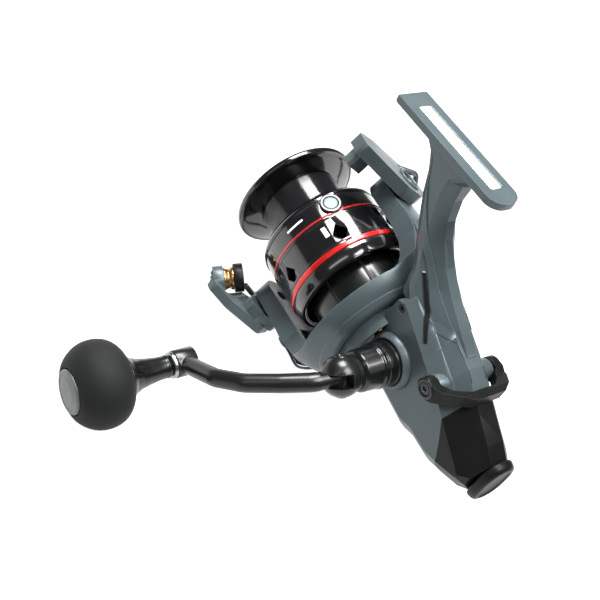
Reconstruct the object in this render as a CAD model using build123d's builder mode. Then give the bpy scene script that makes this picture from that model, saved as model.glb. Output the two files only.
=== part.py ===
from build123d import *
import os
from math import cos, hypot, pi, radians, sin

# A baitfeeder spinning reel. Millimetres, +Z up towards the rod, +Y towards the spool, and the
# handle on -X. The origin is the middle of the foot's seat face. Places inside the reel are
# given from its working datum: the main shaft's axis, level with the handle's axis.

# --- driving dimensions -------------------------------------------------------------------
SEAT_TO_SHAFT = 92.5       # height of the foot's seat above the main shaft
SEAT_AHEAD = 36.6          # the seat's middle lies this far ahead of the handle's axis
HANDLE_OFFSET = 8.5        # height of the handle's axis above the main shaft
ROTOR_TURN = 59.0          # degrees from +X to the plain rotor arm
CRANK_TURN = -39.0         # degrees below +Y of the handle arm
RUN = 0.05                 # running clearance on a radius

FOOT_LENGTH, FOOT_WIDTH, FOOT_THICK = 63.4, 14.6, 3.2
FOOT_TILT = 2.87           # degrees, front end lower

CASE_HALF = 14.5           # half the width of the body
WALL = 2.0
COVER_SPLIT = -9.0         # x of the joint between the housing and its side cover

SHAFT_R = 2.0
PINION_TEETH, DRIVE_TEETH = 10, 45
PINION_PITCH_R = 3.4
MODULE = 2 * PINION_PITCH_R / PINION_TEETH
MESH_AHEAD = PINION_PITCH_R * DRIVE_TEETH / PINION_TEETH
FACE_HALF = 1.6            # half the working width of the drive gear's teeth
JOURNAL_R = 3.5            # of the pinion's front journal, and of the drive gear's shaft

OSC_SMALL_TEETH, OSC_LARGE_TEETH, OSC_MODULE = 14, 26, 0.8
OSC_Y, OSC_Z = -15.45, 4.35
STROKE = 16.0

SPOOL_LIP_R, SPOOL_SKIRT_R, SPOOL_ARBOR_R = 30.0, 29.0, 19.0
BAIL_Y = 66.0              # y of the bail's pivots
KNOB_REACH = 57.5
KNOB_X = -119.6

os.makedirs("parts", exist_ok=True)


# --- datums ----------------------------------------------------------------------------------
def at(x, y, z):
    """A point given from the working datum, in the reel's own frame."""
    return Vector(x, y - SEAT_AHEAD, z - SEAT_TO_SHAFT)


def side(x, z=0.0):
    """The plane square to the handle's axis: local axes are +Y and +Z, extruding goes to +X."""
    return Plane(origin=at(x, 0, z), x_dir=(0, 1, 0), z_dir=(1, 0, 0))


def across(y, turn=0.0):
    """The plane square to the shaft, turned about it: extruding by a negative amount goes ahead."""
    return Plane(origin=at(0, y, 0), x_dir=(cos(radians(turn)), 0, sin(radians(turn))), z_dir=(0, -1, 0))


def level(z):
    """The level plane at height z."""
    return Plane(origin=at(0, 0, z))


ARM_DIR = Vector(cos(radians(ROTOR_TURN)), 0, sin(radians(ROTOR_TURN)))
ROLL_DIR = Vector(-sin(radians(ROTOR_TURN)), 0, cos(radians(ROTOR_TURN)))


def on_rotor(p, q, y):
    """A point at p along the rotor's arms, q across them and y along the shaft."""
    return at(0, y, 0) + ARM_DIR * p + ROLL_DIR * q


def rotor_face(p):
    """The plane facing out along the arms: local axes are across the arms and +Y."""
    return Plane(origin=on_rotor(p, 0, 0), x_dir=ROLL_DIR, z_dir=ARM_DIR * -1)


CRANK_DIR = Vector(0, cos(radians(CRANK_TURN)), sin(radians(CRANK_TURN)))
FOLD_DIR = Vector(0, -sin(radians(CRANK_TURN)), cos(radians(CRANK_TURN)))


def on_crank(x, r, t=0.0):
    """A point at x along the handle's axis, r out along the handle arm and t beside it."""
    return at(x, 0, HANDLE_OFFSET) + CRANK_DIR * r + FOLD_DIR * t


SHAFT_AXIS = Axis(at(0, 0, 0), (0, 1, 0))
HANDLE_AXIS = Axis(at(0, 0, HANDLE_OFFSET), (1, 0, 0))
SHAFT_PROFILE = side(0)
HANDLE_PROFILE = Plane(origin=at(0, 0, HANDLE_OFFSET), x_dir=(1, 0, 0), z_dir=(0, -1, 0))


# --- shapes that repeat ----------------------------------------------------------------------
def turned(plane, axis, points):
    """A solid turned about an axis from a closed outline."""
    with BuildPart() as piece:
        with BuildSketch(plane):
            with BuildLine():
                Polyline(*points, close=True)
            make_face()
        revolve(axis=axis)
    return piece.part


def shaft_ring(y0, y1, outer, inner=0.0):
    """A plain ring or disc about the main shaft, from y0 to y1."""
    with BuildPart() as piece:
        with BuildSketch(across(y0)):
            Circle(outer)
            if inner:
                Circle(inner, mode=Mode.SUBTRACT)
        extrude(amount=y0 - y1)
    return piece.part


def handle_ring(x0, x1, outer, inner=0.0, y=0.0, z=HANDLE_OFFSET):
    """A plain ring or disc about an axis parallel to the handle's, from x0 to x1."""
    with BuildPart() as piece:
        with BuildSketch(side(x0)):
            with Locations((y, z)):
                Circle(outer)
                if inner:
                    Circle(inner, mode=Mode.SUBTRACT)
        extrude(amount=x1 - x0)
    return piece.part


def slab(x0, x1, points):
    """A plate between x0 and x1 whose outline is given in y and z."""
    with BuildPart() as piece:
        with BuildSketch(side(x0)):
            with BuildLine():
                Polyline(*points, close=True)
            make_face()
        extrude(amount=x1 - x0)
    return piece.part


def rod(start, end, radius):
    """A round rod between two points."""
    with BuildPart() as piece:
        with BuildSketch(Plane(origin=start, z_dir=end - start)):
            Circle(radius)
        extrude(amount=(end - start).length)
    return piece.part


def bearing(y0, y1, outer, bore):
    """A ball bearing about the main shaft, drawn as a ring with a groove in each face."""
    third = (outer - bore) / 3
    low, high = bore + third, outer - third
    dip = 0.4
    return turned(SHAFT_PROFILE, SHAFT_AXIS, [
        (y0, bore), (y0, low), (y0 + dip, low), (y0 + dip, high), (y0, high), (y0, outer),
        (y1, outer), (y1, high), (y1 - dip, high), (y1 - dip, low), (y1, low), (y1, bore)])


def spur_teeth(count, module, backlash, phase=0.0):
    """The outline of a spur gear about the origin, with straight flanks: phase is in teeth."""
    pitch_r = count * module / 2
    tip_r, root_r = pitch_r + 0.85 * module, pitch_r - 1.1 * module
    step = 2 * pi / count
    half_pitch = (pi * module / 2 - backlash) / 2 / pitch_r
    points = []
    for tooth in range(count):
        middle = (tooth + phase) * step
        for radius, half in ((root_r, 1.55 * half_pitch), (tip_r, 0.5 * half_pitch)):
            points.append((radius, middle - half))
        for radius, half in ((tip_r, 0.5 * half_pitch), (root_r, 1.55 * half_pitch)):
            points.append((radius, middle + half))
    return [(r * cos(a), r * sin(a)) for r, a in points]


def knuckle(p0, p1, points, radius):
    """A lever cheek across the bail's pivot axis, between p0 and p1, with rounded corners."""
    with BuildPart() as piece:
        with BuildSketch(rotor_face(p1)):
            with BuildLine():
                FilletPolyline(*points, radius=radius, close=True)
            make_face()
        extrude(amount=p1 - p0)
    return piece.part


# --- body: housing, stem and foot in one casting ------------------------------------------------
# the keel and the ridge of the whole body, rear cover included, as y and z in its middle plane
KEEL = [(14.5, -21.5), (2.5, -22.8), (-18.4, -25.6), (-24.8, -23.4), (-36.4, -23.8), (-43.5, -21.3),
        (-52.5, -17.4), (-57.6, -12.6)]
RIDGE = [(-57.6, 17.0), (-51.2, 21.6), (-39.7, 28.0), (-24.6, 37.0), (-12.0, 42.1), (-4.0, 45.9)]
BROW = [(9.0, 40.0), (13.2, 33.0), (14.5, 22.0)]
ROOF_TOP, BROW_RISE = 40.0, 47.5
# x of each section, how far its keel is raised and its ridge lowered, and its rear end
HULL = [(-14.5, 18.5, 17.2, -53.0), (-11.0, 13.2, 13.0, -56.6), (-4.2, 5.1, 5.1, -57.6),
        (4.2, 5.1, 5.1, -57.6), (11.0, 9.0, 13.0, -56.6), (14.5, 11.5, 17.2, -53.0)]
REAR_FACE = [(-43.6, -30), (-42.2, -2), (-38.2, 6), (-33.2, 14.5), (-34.8, 28.4), (-34.8, 50)]
BODY_SIDE = REAR_FACE + [(20, 50), (20, -30)]
# z, then the half outline of each of the stem's sections from the rear spine to the front
STEM = [(34.0, [(2.5, -20.5), (6, -12.0), (9, -3.5), (12, 3.0), (12.8, 8.0), (11.0, 16.0), (4, 17.0)]),
        (40.0, [(2.5, -9.8), (5.6, -2.0), (8.6, 4.5), (11.4, 11.5), (11.4, 15.0), (8.5, 19.0), (3.5, 22.0)]),
        (45.0, [(2.4, -0.5), (5.2, 6.6), (7.6, 10.8), (9.6, 14.5), (9.4, 17.0), (7.2, 20.0), (3.2, 26.0)]),
        (52.0, [(2.3, 10.0), (4.6, 14.0), (6.6, 17.5), (8.0, 20.0), (8.0, 22.2), (6.4, 25.4), (2.6, 30.4)]),
        (60.0, [(2.2, 17.6), (4.4, 19.8), (6.2, 21.8), (7.2, 23.4), (7.2, 27.0), (5.6, 29.8), (2.4, 35.0)]),
        (67.0, [(2.2, 21.4), (4.2, 23.2), (5.9, 24.9), (6.6, 26.4), (6.6, 31.6), (5.2, 34.2), (2.4, 38.4)]),
        (76.0, [(2.2, 23.6), (4.2, 25.2), (5.8, 27.0), (6.4, 28.6), (6.4, 35.6), (5.0, 38.2), (2.4, 41.6)]),
        (84.0, [(3.0, 23.6), (4.6, 25.0), (6.0, 26.8), (6.6, 28.6), (6.6, 39.0), (5.4, 42.0), (3.0, 45.6)]),
        (90.6, [(4.6, 16.5), (5.8, 18.0), (6.7, 20.0), (7.0, 22.5), (7.0, 47.0), (6.2, 50.0), (4.6, 52.5)])]
NECK_R = 24.9
# screws from the handle side, and from the far side
SCREW_POSTS = [(9.5, 31.5)]
FAR_SCREWS = [(-31.0, 8.0), (-31.5, -7.2)]


def height(line, y):
    """The height of a broken line at y."""
    for (y0, z0), (y1, z1) in zip(line, line[1:]):
        if min(y0, y1) <= y <= max(y0, y1):
            return z0 + (z1 - z0) * (y - y0) / (y1 - y0)


def hull_outline(lift, drop, rear):
    """The body's outline in y and z where its keel is raised and its ridge lowered."""
    keel = [(y, z + lift) for y, z in KEEL if y > rear] + [(rear, height(KEEL, rear) + lift)]
    ridge = [(rear, height(RIDGE, rear) - drop)]
    ridge += [(y, min(z - drop, ROOF_TOP)) for y, z in RIDGE if y > rear]
    brow = [(y, min(z, BROW_RISE - drop + y / 2)) for y, z in BROW]
    return keel + ridge + brow


def hull(inset=0.0, cut=-57.6):
    """The whole body as a solid, or its inside when its skin is drawn in by the inset."""
    with BuildPart() as piece:
        for x, lift, drop, rear in HULL:
            outline = hull_outline(lift + inset, drop + inset, max(rear, cut))
            with BuildSketch(side(x * (1 - inset / CASE_HALF))):
                with BuildLine():
                    Polyline(*outline, close=True)
                make_face()
        loft(ruled=True)
    return piece.part


HOLLOW_SIDE = [(-28.6, -30), (-28.6, 25.0), (-20, 29.0), (11, 29.0), (13.2, 22.0), (13.2, -30)]
with BuildPart() as hollow:
    add(hull(WALL, -30.0))
    add(slab(-20, 20, HOLLOW_SIDE), mode=Mode.INTERSECT)

with BuildPart() as body_housing:
    add(hull())
    add(slab(COVER_SPLIT, 20, BODY_SIDE), mode=Mode.INTERSECT)
    add(shaft_ring(11, 21.0, NECK_R))
    add(shaft_ring(20.9, 37.0, 18.2))
    # hollow for the gears, and the neck's own hollow for the front of the drive gear
    add(hollow.part, mode=Mode.SUBTRACT)
    add(shaft_ring(10.5, 19.6, NECK_R - 1.1), mode=Mode.SUBTRACT)
    # seats for the rear bush of the pinion and the far bearing of the drive gear
    with BuildSketch(across(7.2)):
        with Locations((0, -12.4)):
            Rectangle(5.0, 17.6)
    extrude(amount=-2.8)
    add(handle_ring(9.4, CASE_HALF - WALL + 0.5, 8.8, 6.5))
    # seats of the main bearing and the one-way clutch, from the front
    add(shaft_ring(18, 40, 5.4), mode=Mode.SUBTRACT)
    add(shaft_ring(24.0, 40, 8.5), mode=Mode.SUBTRACT)
    add(shaft_ring(28.0, 40, 13.5), mode=Mode.SUBTRACT)
    add(shaft_ring(36.0, 40, 16.6), mode=Mode.SUBTRACT)
    # rear bush seat, shaft passage and the guide rod's end
    add(shaft_ring(-44, -28, 5.0), mode=Mode.SUBTRACT)
    add(shaft_ring(-44, -33.3, 10.5), mode=Mode.SUBTRACT)
    add(rod(at(0, -30.1, -7), at(0, 11, -7), 1.2), mode=Mode.SUBTRACT)
    # the hole in the far wall for the handle's screw cap
    add(handle_ring(8, 16, 4.2), mode=Mode.SUBTRACT)
    for y, z in SCREW_POSTS:
        add(handle_ring(COVER_SPLIT, CASE_HALF - WALL, 2.6, 0, y, z))

with BuildPart() as stem:
    for z, half_outline in STEM:
        mirrored = [(-x, y) for x, y in reversed(half_outline)]
        with BuildSketch(level(z)):
            with BuildLine():
                Polyline(*half_outline, *mirrored, close=True)
            make_face()
    loft(ruled=True)

LEVER_PIVOT = (-22.0, 21.5)
LEVER_BOSS_R = 4.4
SEAT = Plane(origin=(0, 0, 0), x_dir=(1, 0, 0),
             z_dir=(0, sin(radians(FOOT_TILT)), cos(radians(FOOT_TILT))))
PLATE_LENGTH, PLATE_WIDTH, PLATE_DEEP = 47.0, 5.4, 0.7
with BuildPart() as foot:
    with BuildSketch(SEAT):
        with Locations((0, FOOT_WIDTH / 4)):
            Rectangle(FOOT_WIDTH, FOOT_LENGTH - FOOT_WIDTH / 2)
        with Locations((0, -FOOT_LENGTH / 2 + FOOT_WIDTH / 2)):
            RectangleRounded(FOOT_WIDTH, FOOT_WIDTH, 0.42 * FOOT_WIDTH)
    extrude(amount=-FOOT_THICK)
    fillet(foot.edges().group_by(Axis.Z)[0], 1.0)
    with BuildSketch(SEAT):
        RectangleRounded(PLATE_WIDTH, PLATE_LENGTH, 0.8)
    extrude(amount=-PLATE_DEEP, mode=Mode.SUBTRACT)

with BuildPart() as neck:
    # the stem's root stays out of the gear hollow and clear of the rotor's rim
    add(stem.part)
    add(hollow.part, mode=Mode.SUBTRACT)
    with BuildPart() as cover_side:
        add(hull())
        add(slab(-20, COVER_SPLIT, BODY_SIDE), mode=Mode.INTERSECT)
    add(cover_side.part, mode=Mode.SUBTRACT)

with BuildPart() as casting:
    add(body_housing.part)
    add(neck.part)
    add(foot.part)
    for y, z in SCREW_POSTS:
        add(handle_ring(COVER_SPLIT - 1, 2, 1.05, 0, y, z), mode=Mode.SUBTRACT)
    for y, z in FAR_SCREWS:
        add(handle_ring(COVER_SPLIT - 1, 20, 1.15, 0, y, z), mode=Mode.SUBTRACT)
        add(handle_ring(10.0, 20, 2.1, 0, y, z), mode=Mode.SUBTRACT)
    add(handle_ring(9.5, CASE_HALF, LEVER_BOSS_R, 0, *LEVER_PIVOT))
    add(handle_ring(6, 20, 1.25, 0, *LEVER_PIVOT), mode=Mode.SUBTRACT)
casting.part.label = "body_housing"
export_step(casting.part, "parts/body_housing.step")

with BuildPart() as side_cover:
    add(hull())
    add(slab(-20, COVER_SPLIT, BODY_SIDE), mode=Mode.INTERSECT)
    add(hollow.part, mode=Mode.SUBTRACT)
    add(shaft_ring(11, 23, NECK_R + 0.2), mode=Mode.SUBTRACT)
    add(shaft_ring(-45, -33.3, 10.5), mode=Mode.SUBTRACT)
    add(handle_ring(-CASE_HALF + 0.5, -9.2, 9.0))
    add(handle_ring(-13.4, -9, 7.0), mode=Mode.SUBTRACT)
    add(handle_ring(-16, -9, 5.0), mode=Mode.SUBTRACT)
    add(handle_ring(-13, -7.3, 3.6, 0, OSC_Y, OSC_Z))
    add(handle_ring(-7.4, -4.5, 1.95, 0, OSC_Y, OSC_Z))
    for y, z in SCREW_POSTS:
        add(handle_ring(-CASE_HALF + 1.2, COVER_SPLIT, 2.6, 0, y, z))
        add(handle_ring(-16, COVER_SPLIT, 1.15, 0, y, z), mode=Mode.SUBTRACT)
        add(handle_ring(-16, -12.6, 2.1, 0, y, z), mode=Mode.SUBTRACT)
    for y, z in FAR_SCREWS:
        add(handle_ring(-12.0, -8.9, 1.05, 0, y, z), mode=Mode.SUBTRACT)
    add(handle_ring(-CASE_HALF, COVER_SPLIT, LEVER_BOSS_R, 0, *LEVER_PIVOT))
    add(handle_ring(-16, -8.9, 1.25, 0, *LEVER_PIVOT), mode=Mode.SUBTRACT)
side_cover.part.label = "side_cover"
export_step(side_cover.part, "parts/side_cover.step")

# --- body: covers, bearings and small parts -----------------------------------------------------
with BuildPart() as handle_collar:
    add(turned(HANDLE_PROFILE, HANDLE_AXIS, [
        (-CASE_HALF, 10.2), (-CASE_HALF, 12.4), (-15.6, 12.4), (-17.6, 11.2), (-17.6, 10.2)]))
handle_collar.part.label = "handle_collar"
export_step(handle_collar.part, "parts/handle_collar.step")

with BuildPart() as far_side_cap:
    add(turned(HANDLE_PROFILE, HANDLE_AXIS, [
        (CASE_HALF, 0), (CASE_HALF, 7.5), (16.5, 7.5), (18.2, 5.8), (18.2, 0)]))
    add(handle_ring(13.2, CASE_HALF, 4.1))
far_side_cap.part.label = "far_side_cap"
export_step(far_side_cap.part, "parts/far_side_cap.step")

SEAM = 0.2                 # gap between the rear cover and the body
COVER_SIDE = [(y - SEAM, z) for y, z in REAR_FACE] + [(-70, 50), (-70, -30)]
with BuildPart() as rear_cover:
    add(hull())
    add(slab(-20, 20, COVER_SIDE), mode=Mode.INTERSECT)
    add(shaft_ring(-53.5, -28, 10.5), mode=Mode.SUBTRACT)
    add(shaft_ring(-60, -28, 3.1), mode=Mode.SUBTRACT)
rear_cover.part.label = "rear_cover"
export_step(rear_cover.part, "parts/rear_cover.step")

with BuildPart() as foot_label_plate:
    with BuildSketch(SEAT.offset(-PLATE_DEEP)):
        RectangleRounded(PLATE_WIDTH - 0.1, PLATE_LENGTH - 0.1, 0.75)
    extrude(amount=PLATE_DEEP - 0.15)
foot_label_plate.part.label = "foot_label_plate"
export_step(foot_label_plate.part, "parts/foot_label_plate.step")

with BuildPart() as side_trim:
    add(slab(-CASE_HALF - 0.6, -CASE_HALF, [(7.0, 35.6), (-4.4, 24.2), (-2.4, 22.2), (9.0, 33.4)]))
side_trim.part.label = "side_trim"
export_step(side_trim.part, "parts/side_trim.step")

with BuildPart() as body_screws:
    for y, z in SCREW_POSTS:
        add(handle_ring(-14.3, -12.6, 2.0, 0, y, z))
        add(handle_ring(-12.6, 1.5, 1.0, 0, y, z))
        add(handle_ring(-14.6, -13.5, 1.0, 0, y, z), mode=Mode.SUBTRACT)
    for y, z in FAR_SCREWS:
        add(handle_ring(10.0, 11.6, 2.0, 0, y, z))
        add(handle_ring(-11.6, 10.0, 1.0, 0, y, z))
        add(handle_ring(10.9, 12.0, 1.0, 0, y, z), mode=Mode.SUBTRACT)
body_screws.part.label = "body_screws"
export_step(body_screws.part, "parts/body_screws.step")

with BuildPart() as pinion_bearing:
    add(bearing(24.1, 27.9, 8.5, JOURNAL_R + RUN))
pinion_bearing.part.label = "pinion_bearing"
export_step(pinion_bearing.part, "parts/pinion_bearing.step")

with BuildPart() as bearing_retainer:
    add(shaft_ring(28.0, 28.9, 13.4, 5.2))
    with BuildSketch(across(27)):
        with PolarLocations(10.5, 3):
            Circle(1.1)
    extrude(amount=-4, mode=Mode.SUBTRACT)
bearing_retainer.part.label = "bearing_retainer"
export_step(bearing_retainer.part, "parts/bearing_retainer.step")

with BuildPart() as anti_reverse_clutch:
    add(shaft_ring(29.2, 35.8, 13.4, 8.9))
    for y0, y1 in ((29.2, 30.0), (35.0, 35.8)):
        add(shaft_ring(y0, y1, 9.2, 7.6))
    # rollers seated in the outer race
    with BuildSketch(across(30)):
        with PolarLocations(8.3, 8):
            Circle(0.65)
    extrude(amount=-5)
anti_reverse_clutch.part.label = "anti_reverse_clutch"
export_step(anti_reverse_clutch.part, "parts/anti_reverse_clutch.step")

with BuildPart() as clutch_cover:
    add(shaft_ring(36.1, 37.3, 16.5, 7.6))
    with BuildSketch(across(35)):
        with PolarLocations(15.0, 3):
            Circle(1.0)
    extrude(amount=-4, mode=Mode.SUBTRACT)
clutch_cover.part.label = "clutch_cover"
export_step(clutch_cover.part, "parts/clutch_cover.step")

with BuildPart() as pinion_bush:
    with BuildSketch(across(7.2)):
        with Locations((0, -0.1)):
            Rectangle(7.6, 7.0)
        Circle(2.65 + RUN, mode=Mode.SUBTRACT)
    extrude(amount=-2.8)
pinion_bush.part.label = "pinion_bush"
export_step(pinion_bush.part, "parts/pinion_bush.step")

with BuildPart() as drive_gear_bearing_left:
    add(handle_ring(-13.2, -9.3, 6.9, JOURNAL_R + RUN))
    add(handle_ring(-9.7, -9.2, 6.0, 4.4), mode=Mode.SUBTRACT)
drive_gear_bearing_left.part.label = "drive_gear_bearing_left"
export_step(drive_gear_bearing_left.part, "parts/drive_gear_bearing_left.step")

with BuildPart() as drive_gear_bearing_right:
    add(handle_ring(9.5, 12.5, 6.4, JOURNAL_R + RUN))
    add(handle_ring(9.4, 9.9, 5.6, 4.4), mode=Mode.SUBTRACT)
drive_gear_bearing_right.part.label = "drive_gear_bearing_right"
export_step(drive_gear_bearing_right.part, "parts/drive_gear_bearing_right.step")

with BuildPart() as shaft_rear_bush:
    add(shaft_ring(-33.0, -28.7, 4.9, SHAFT_R + RUN))
shaft_rear_bush.part.label = "shaft_rear_bush"
export_step(shaft_rear_bush.part, "parts/shaft_rear_bush.step")

with BuildPart() as oscillation_guide:
    add(rod(at(0, -29.9, -7), at(0, 10.5, -7), 1.15))
oscillation_guide.part.label = "oscillation_guide"
export_step(oscillation_guide.part, "parts/oscillation_guide.step")

with BuildPart() as bait_drag_washers:
    for step in range(4):
        y = -36.0 - 2.4 * step
        add(shaft_ring(y - 1.0, y, 8.6 - 0.8 * (step % 2), 2.6))
bait_drag_washers.part.label = "bait_drag_washers"
export_step(bait_drag_washers.part, "parts/bait_drag_washers.step")

with BuildPart() as bait_drag_barrel:
    # a barrel that spaces the washers and takes the thrust of the rear knob
    add(shaft_ring(-52.5, -33.6, 10.3, 8.9))
    add(shaft_ring(-52.5, -46.0, 8.9, 2.6))
bait_drag_barrel.part.label = "bait_drag_barrel"
export_step(bait_drag_barrel.part, "parts/bait_drag_barrel.step")

with BuildPart() as bait_lever_screws:
    for x0, x1 in ((-19.2, -CASE_HALF - 1.6), (CASE_HALF + 1.6, 19.2)):
        add(handle_ring(x0, x1, 2.4, 0, *LEVER_PIVOT))
    add(handle_ring(-CASE_HALF - 1.6, CASE_HALF + 1.6, 1.2, 0, *LEVER_PIVOT))
    for x0, x1 in ((-20, -18.4), (18.4, 20)):
        add(handle_ring(x0, x1, 1.2, 0, *LEVER_PIVOT), mode=Mode.SUBTRACT)
    add(handle_ring(-8, 11, 3, 0, *LEVER_PIVOT), mode=Mode.SUBTRACT)
bait_lever_screws.part.label = "bait_lever_screws"
export_step(bait_lever_screws.part, "parts/bait_lever_screws.step")

# --- bait lever: a fork round the back of the body -------------------------------------------
FORK_HALF, FORK_CLEAR = 19.0, 0.5
FORK_SIDE = [(-22.0, 16.9), (-27.0, 18.3), (-34.2, 23.7), (-38.0, 25.5), (-38.0, 30.6), (-34.0, 30.2),
             (-28.0, 26.4), (-22.0, 26.1)]
# the fork from above, as x and y of one half: outside edge, then inside edge
FORK_OUTSIDE = [(FORK_HALF, -17.0), (FORK_HALF, -25.0), (16.6, -29.6), (12.2, -34.2), (7.6, -37.2)]
FORK_INSIDE = [(6.4, -32.8), (11.0, -29.6), (15.1, -24.6), (15.1, -17.0)]
with BuildPart() as bait_lever:
    with BuildSketch(side(-FORK_HALF)):
        with Locations(LEVER_PIVOT):
            Circle(4.6)
        with BuildLine():
            Polyline(*FORK_SIDE, close=True)
        make_face()
    extrude(amount=2 * FORK_HALF)
    with BuildSketch(level(0)):
        with BuildLine():
            Polyline(*FORK_OUTSIDE, *[(-x, y) for x, y in reversed(FORK_OUTSIDE)],
                     *[(-x, y) for x, y in reversed(FORK_INSIDE)], *FORK_INSIDE, close=True)
        make_face()
    extrude(amount=60, mode=Mode.INTERSECT)
    # the body lies inside the fork
    add(hull(-FORK_CLEAR), mode=Mode.SUBTRACT)
    add(handle_ring(-15.1, 15.1, LEVER_BOSS_R + FORK_CLEAR, 0, *LEVER_PIVOT), mode=Mode.SUBTRACT)
    for x0, x1 in ((-20, -16.1), (16.1, 20)):
        add(handle_ring(x0, x1, 2.4 + RUN, 0, *LEVER_PIVOT), mode=Mode.SUBTRACT)
    add(handle_ring(-17, 17, 1.2 + RUN, 0, *LEVER_PIVOT), mode=Mode.SUBTRACT)
bait_lever.part.label = "bait_lever"
export_step(bait_lever.part, "parts/bait_lever.step")

# --- rear knob ---------------------------------------------------------------------------------
with BuildPart() as bait_drag_knob:
    with BuildSketch(across(-57.9)):
        with Locations((0, 2.2)):
            Ellipse(8.8, 12.2)
    extrude(amount=4.4)
    fillet(bait_drag_knob.edges().group_by(Axis.Y)[0], 2.0)
    add(shaft_ring(-58.5, -53.0, 3.05))
bait_drag_knob.part.label = "bait_drag_knob"
export_step(bait_drag_knob.part, "parts/bait_drag_knob.step")

# --- drive train -------------------------------------------------------------------------------
TOOTH_TOP, TOOTH_ROOT = 0.85 * MODULE, 1.1 * MODULE
with BuildPart() as pinion_gear:
    with BuildSketch(across(11.0)):
        with BuildLine():
            Polyline(*spur_teeth(PINION_TEETH, MODULE, 0.5), close=True)
        make_face()
    extrude(amount=-8.0)
    add(shaft_ring(7.0, 20.5, PINION_PITCH_R - TOOTH_ROOT))
    add(turned(SHAFT_PROFILE, SHAFT_AXIS, [
        (19.0, 0), (19.0, 2.6), (20.4, JOURNAL_R), (53.0, JOURNAL_R), (53.0, 0)]))
    add(shaft_ring(6, 54, SHAFT_R + RUN), mode=Mode.SUBTRACT)
pinion_gear.part.label = "pinion_gear"
export_step(pinion_gear.part, "parts/pinion_gear.step")

PLATE_X = PINION_PITCH_R + TOOTH_ROOT
FACE_IN, FACE_OUT = MESH_AHEAD - FACE_HALF, MESH_AHEAD + FACE_HALF
DRIVE_R = hypot(FACE_OUT, HANDLE_OFFSET) + 0.3
FACE_PITCH = 2 * pi * MESH_AHEAD / DRIVE_TEETH
TOOTH_PHASE = 0.5          # of a tooth, so that a gap of the drive gear meets the pinion at rest
with BuildPart() as drive_tooth:
    # one tooth as it lies in the mesh: parallel to the pinion, below the gear's axis
    with BuildSketch(across(FACE_IN)):
        with BuildLine():
            Polyline((PLATE_X + 0.2, -0.36 * FACE_PITCH), (PINION_PITCH_R - TOOTH_TOP, -0.07 * FACE_PITCH),
                     (PINION_PITCH_R - TOOTH_TOP, 0.07 * FACE_PITCH), (PLATE_X + 0.2, 0.36 * FACE_PITCH),
                     close=True)
        make_face()
    extrude(amount=-2 * FACE_HALF)
with BuildPart() as drive_gear:
    add(handle_ring(PLATE_X, PLATE_X + 2.6, DRIVE_R))
    add(handle_ring(-13.0, 12.4, JOURNAL_R))
    add(handle_ring(PLATE_X, 9.2, 6.5))
    for tooth in range(DRIVE_TEETH):
        turn = 360.0 / DRIVE_TEETH * (tooth + TOOTH_PHASE)
        add(drive_tooth.part.rotate(HANDLE_AXIS, turn))
    add(handle_ring(-14, 14, 2.5), mode=Mode.SUBTRACT)
    with BuildSketch(side(PLATE_X - 1, HANDLE_OFFSET)):
        with Locations((0, HANDLE_OFFSET)):
            with PolarLocations(11.0, 6):
                Circle(2.6)
    extrude(amount=6, mode=Mode.SUBTRACT)
drive_gear.part.label = "drive_gear"
export_step(drive_gear.part, "parts/drive_gear.step")

MESH_DIR = Vector(0, OSC_Y, OSC_Z - HANDLE_OFFSET).normalized()
with BuildPart() as oscillation_pinion:
    with BuildSketch(Plane(origin=at(-7, 0, HANDLE_OFFSET), x_dir=MESH_DIR, z_dir=(1, 0, 0))):
        with BuildLine():
            Polyline(*spur_teeth(OSC_SMALL_TEETH, OSC_MODULE, 0.35, 0.5), close=True)
        make_face()
        Circle(JOURNAL_R, mode=Mode.SUBTRACT)
    extrude(amount=2.8)
oscillation_pinion.part.label = "oscillation_pinion"
export_step(oscillation_pinion.part, "parts/oscillation_pinion.step")

with BuildPart() as oscillation_gear:
    with BuildSketch(Plane(origin=at(-7, OSC_Y, OSC_Z), x_dir=MESH_DIR * -1, z_dir=(1, 0, 0))):
        with BuildLine():
            Polyline(*spur_teeth(OSC_LARGE_TEETH, OSC_MODULE, 0.35), close=True)
        make_face()
    extrude(amount=2.6)
    add(handle_ring(-8, -3, 1.95 + RUN, 0, OSC_Y, OSC_Z), mode=Mode.SUBTRACT)
    add(handle_ring(-4.6, -3.3, 1.2, 0, OSC_Y + STROKE / 2, OSC_Z))
oscillation_gear.part.label = "oscillation_gear"
export_step(oscillation_gear.part, "parts/oscillation_gear.step")

# --- handle ------------------------------------------------------------------------------------
with BuildPart() as handle_shaft:
    add(handle_ring(-36.0, 12.6, 2.45))
handle_shaft.part.label = "handle_shaft"
export_step(handle_shaft.part, "parts/handle_shaft.step")

with BuildPart() as handle_sleeve:
    add(turned(HANDLE_PROFILE, HANDLE_AXIS, [
        (-14.8, 2.45), (-14.8, 9.8), (-24.5, 9.8), (-25.2, 9.3), (-33.2, 8.8), (-34.4, 7.8), (-34.4, 2.45)]))
handle_sleeve.part.label = "handle_sleeve"
export_step(handle_sleeve.part, "parts/handle_sleeve.step")

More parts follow.
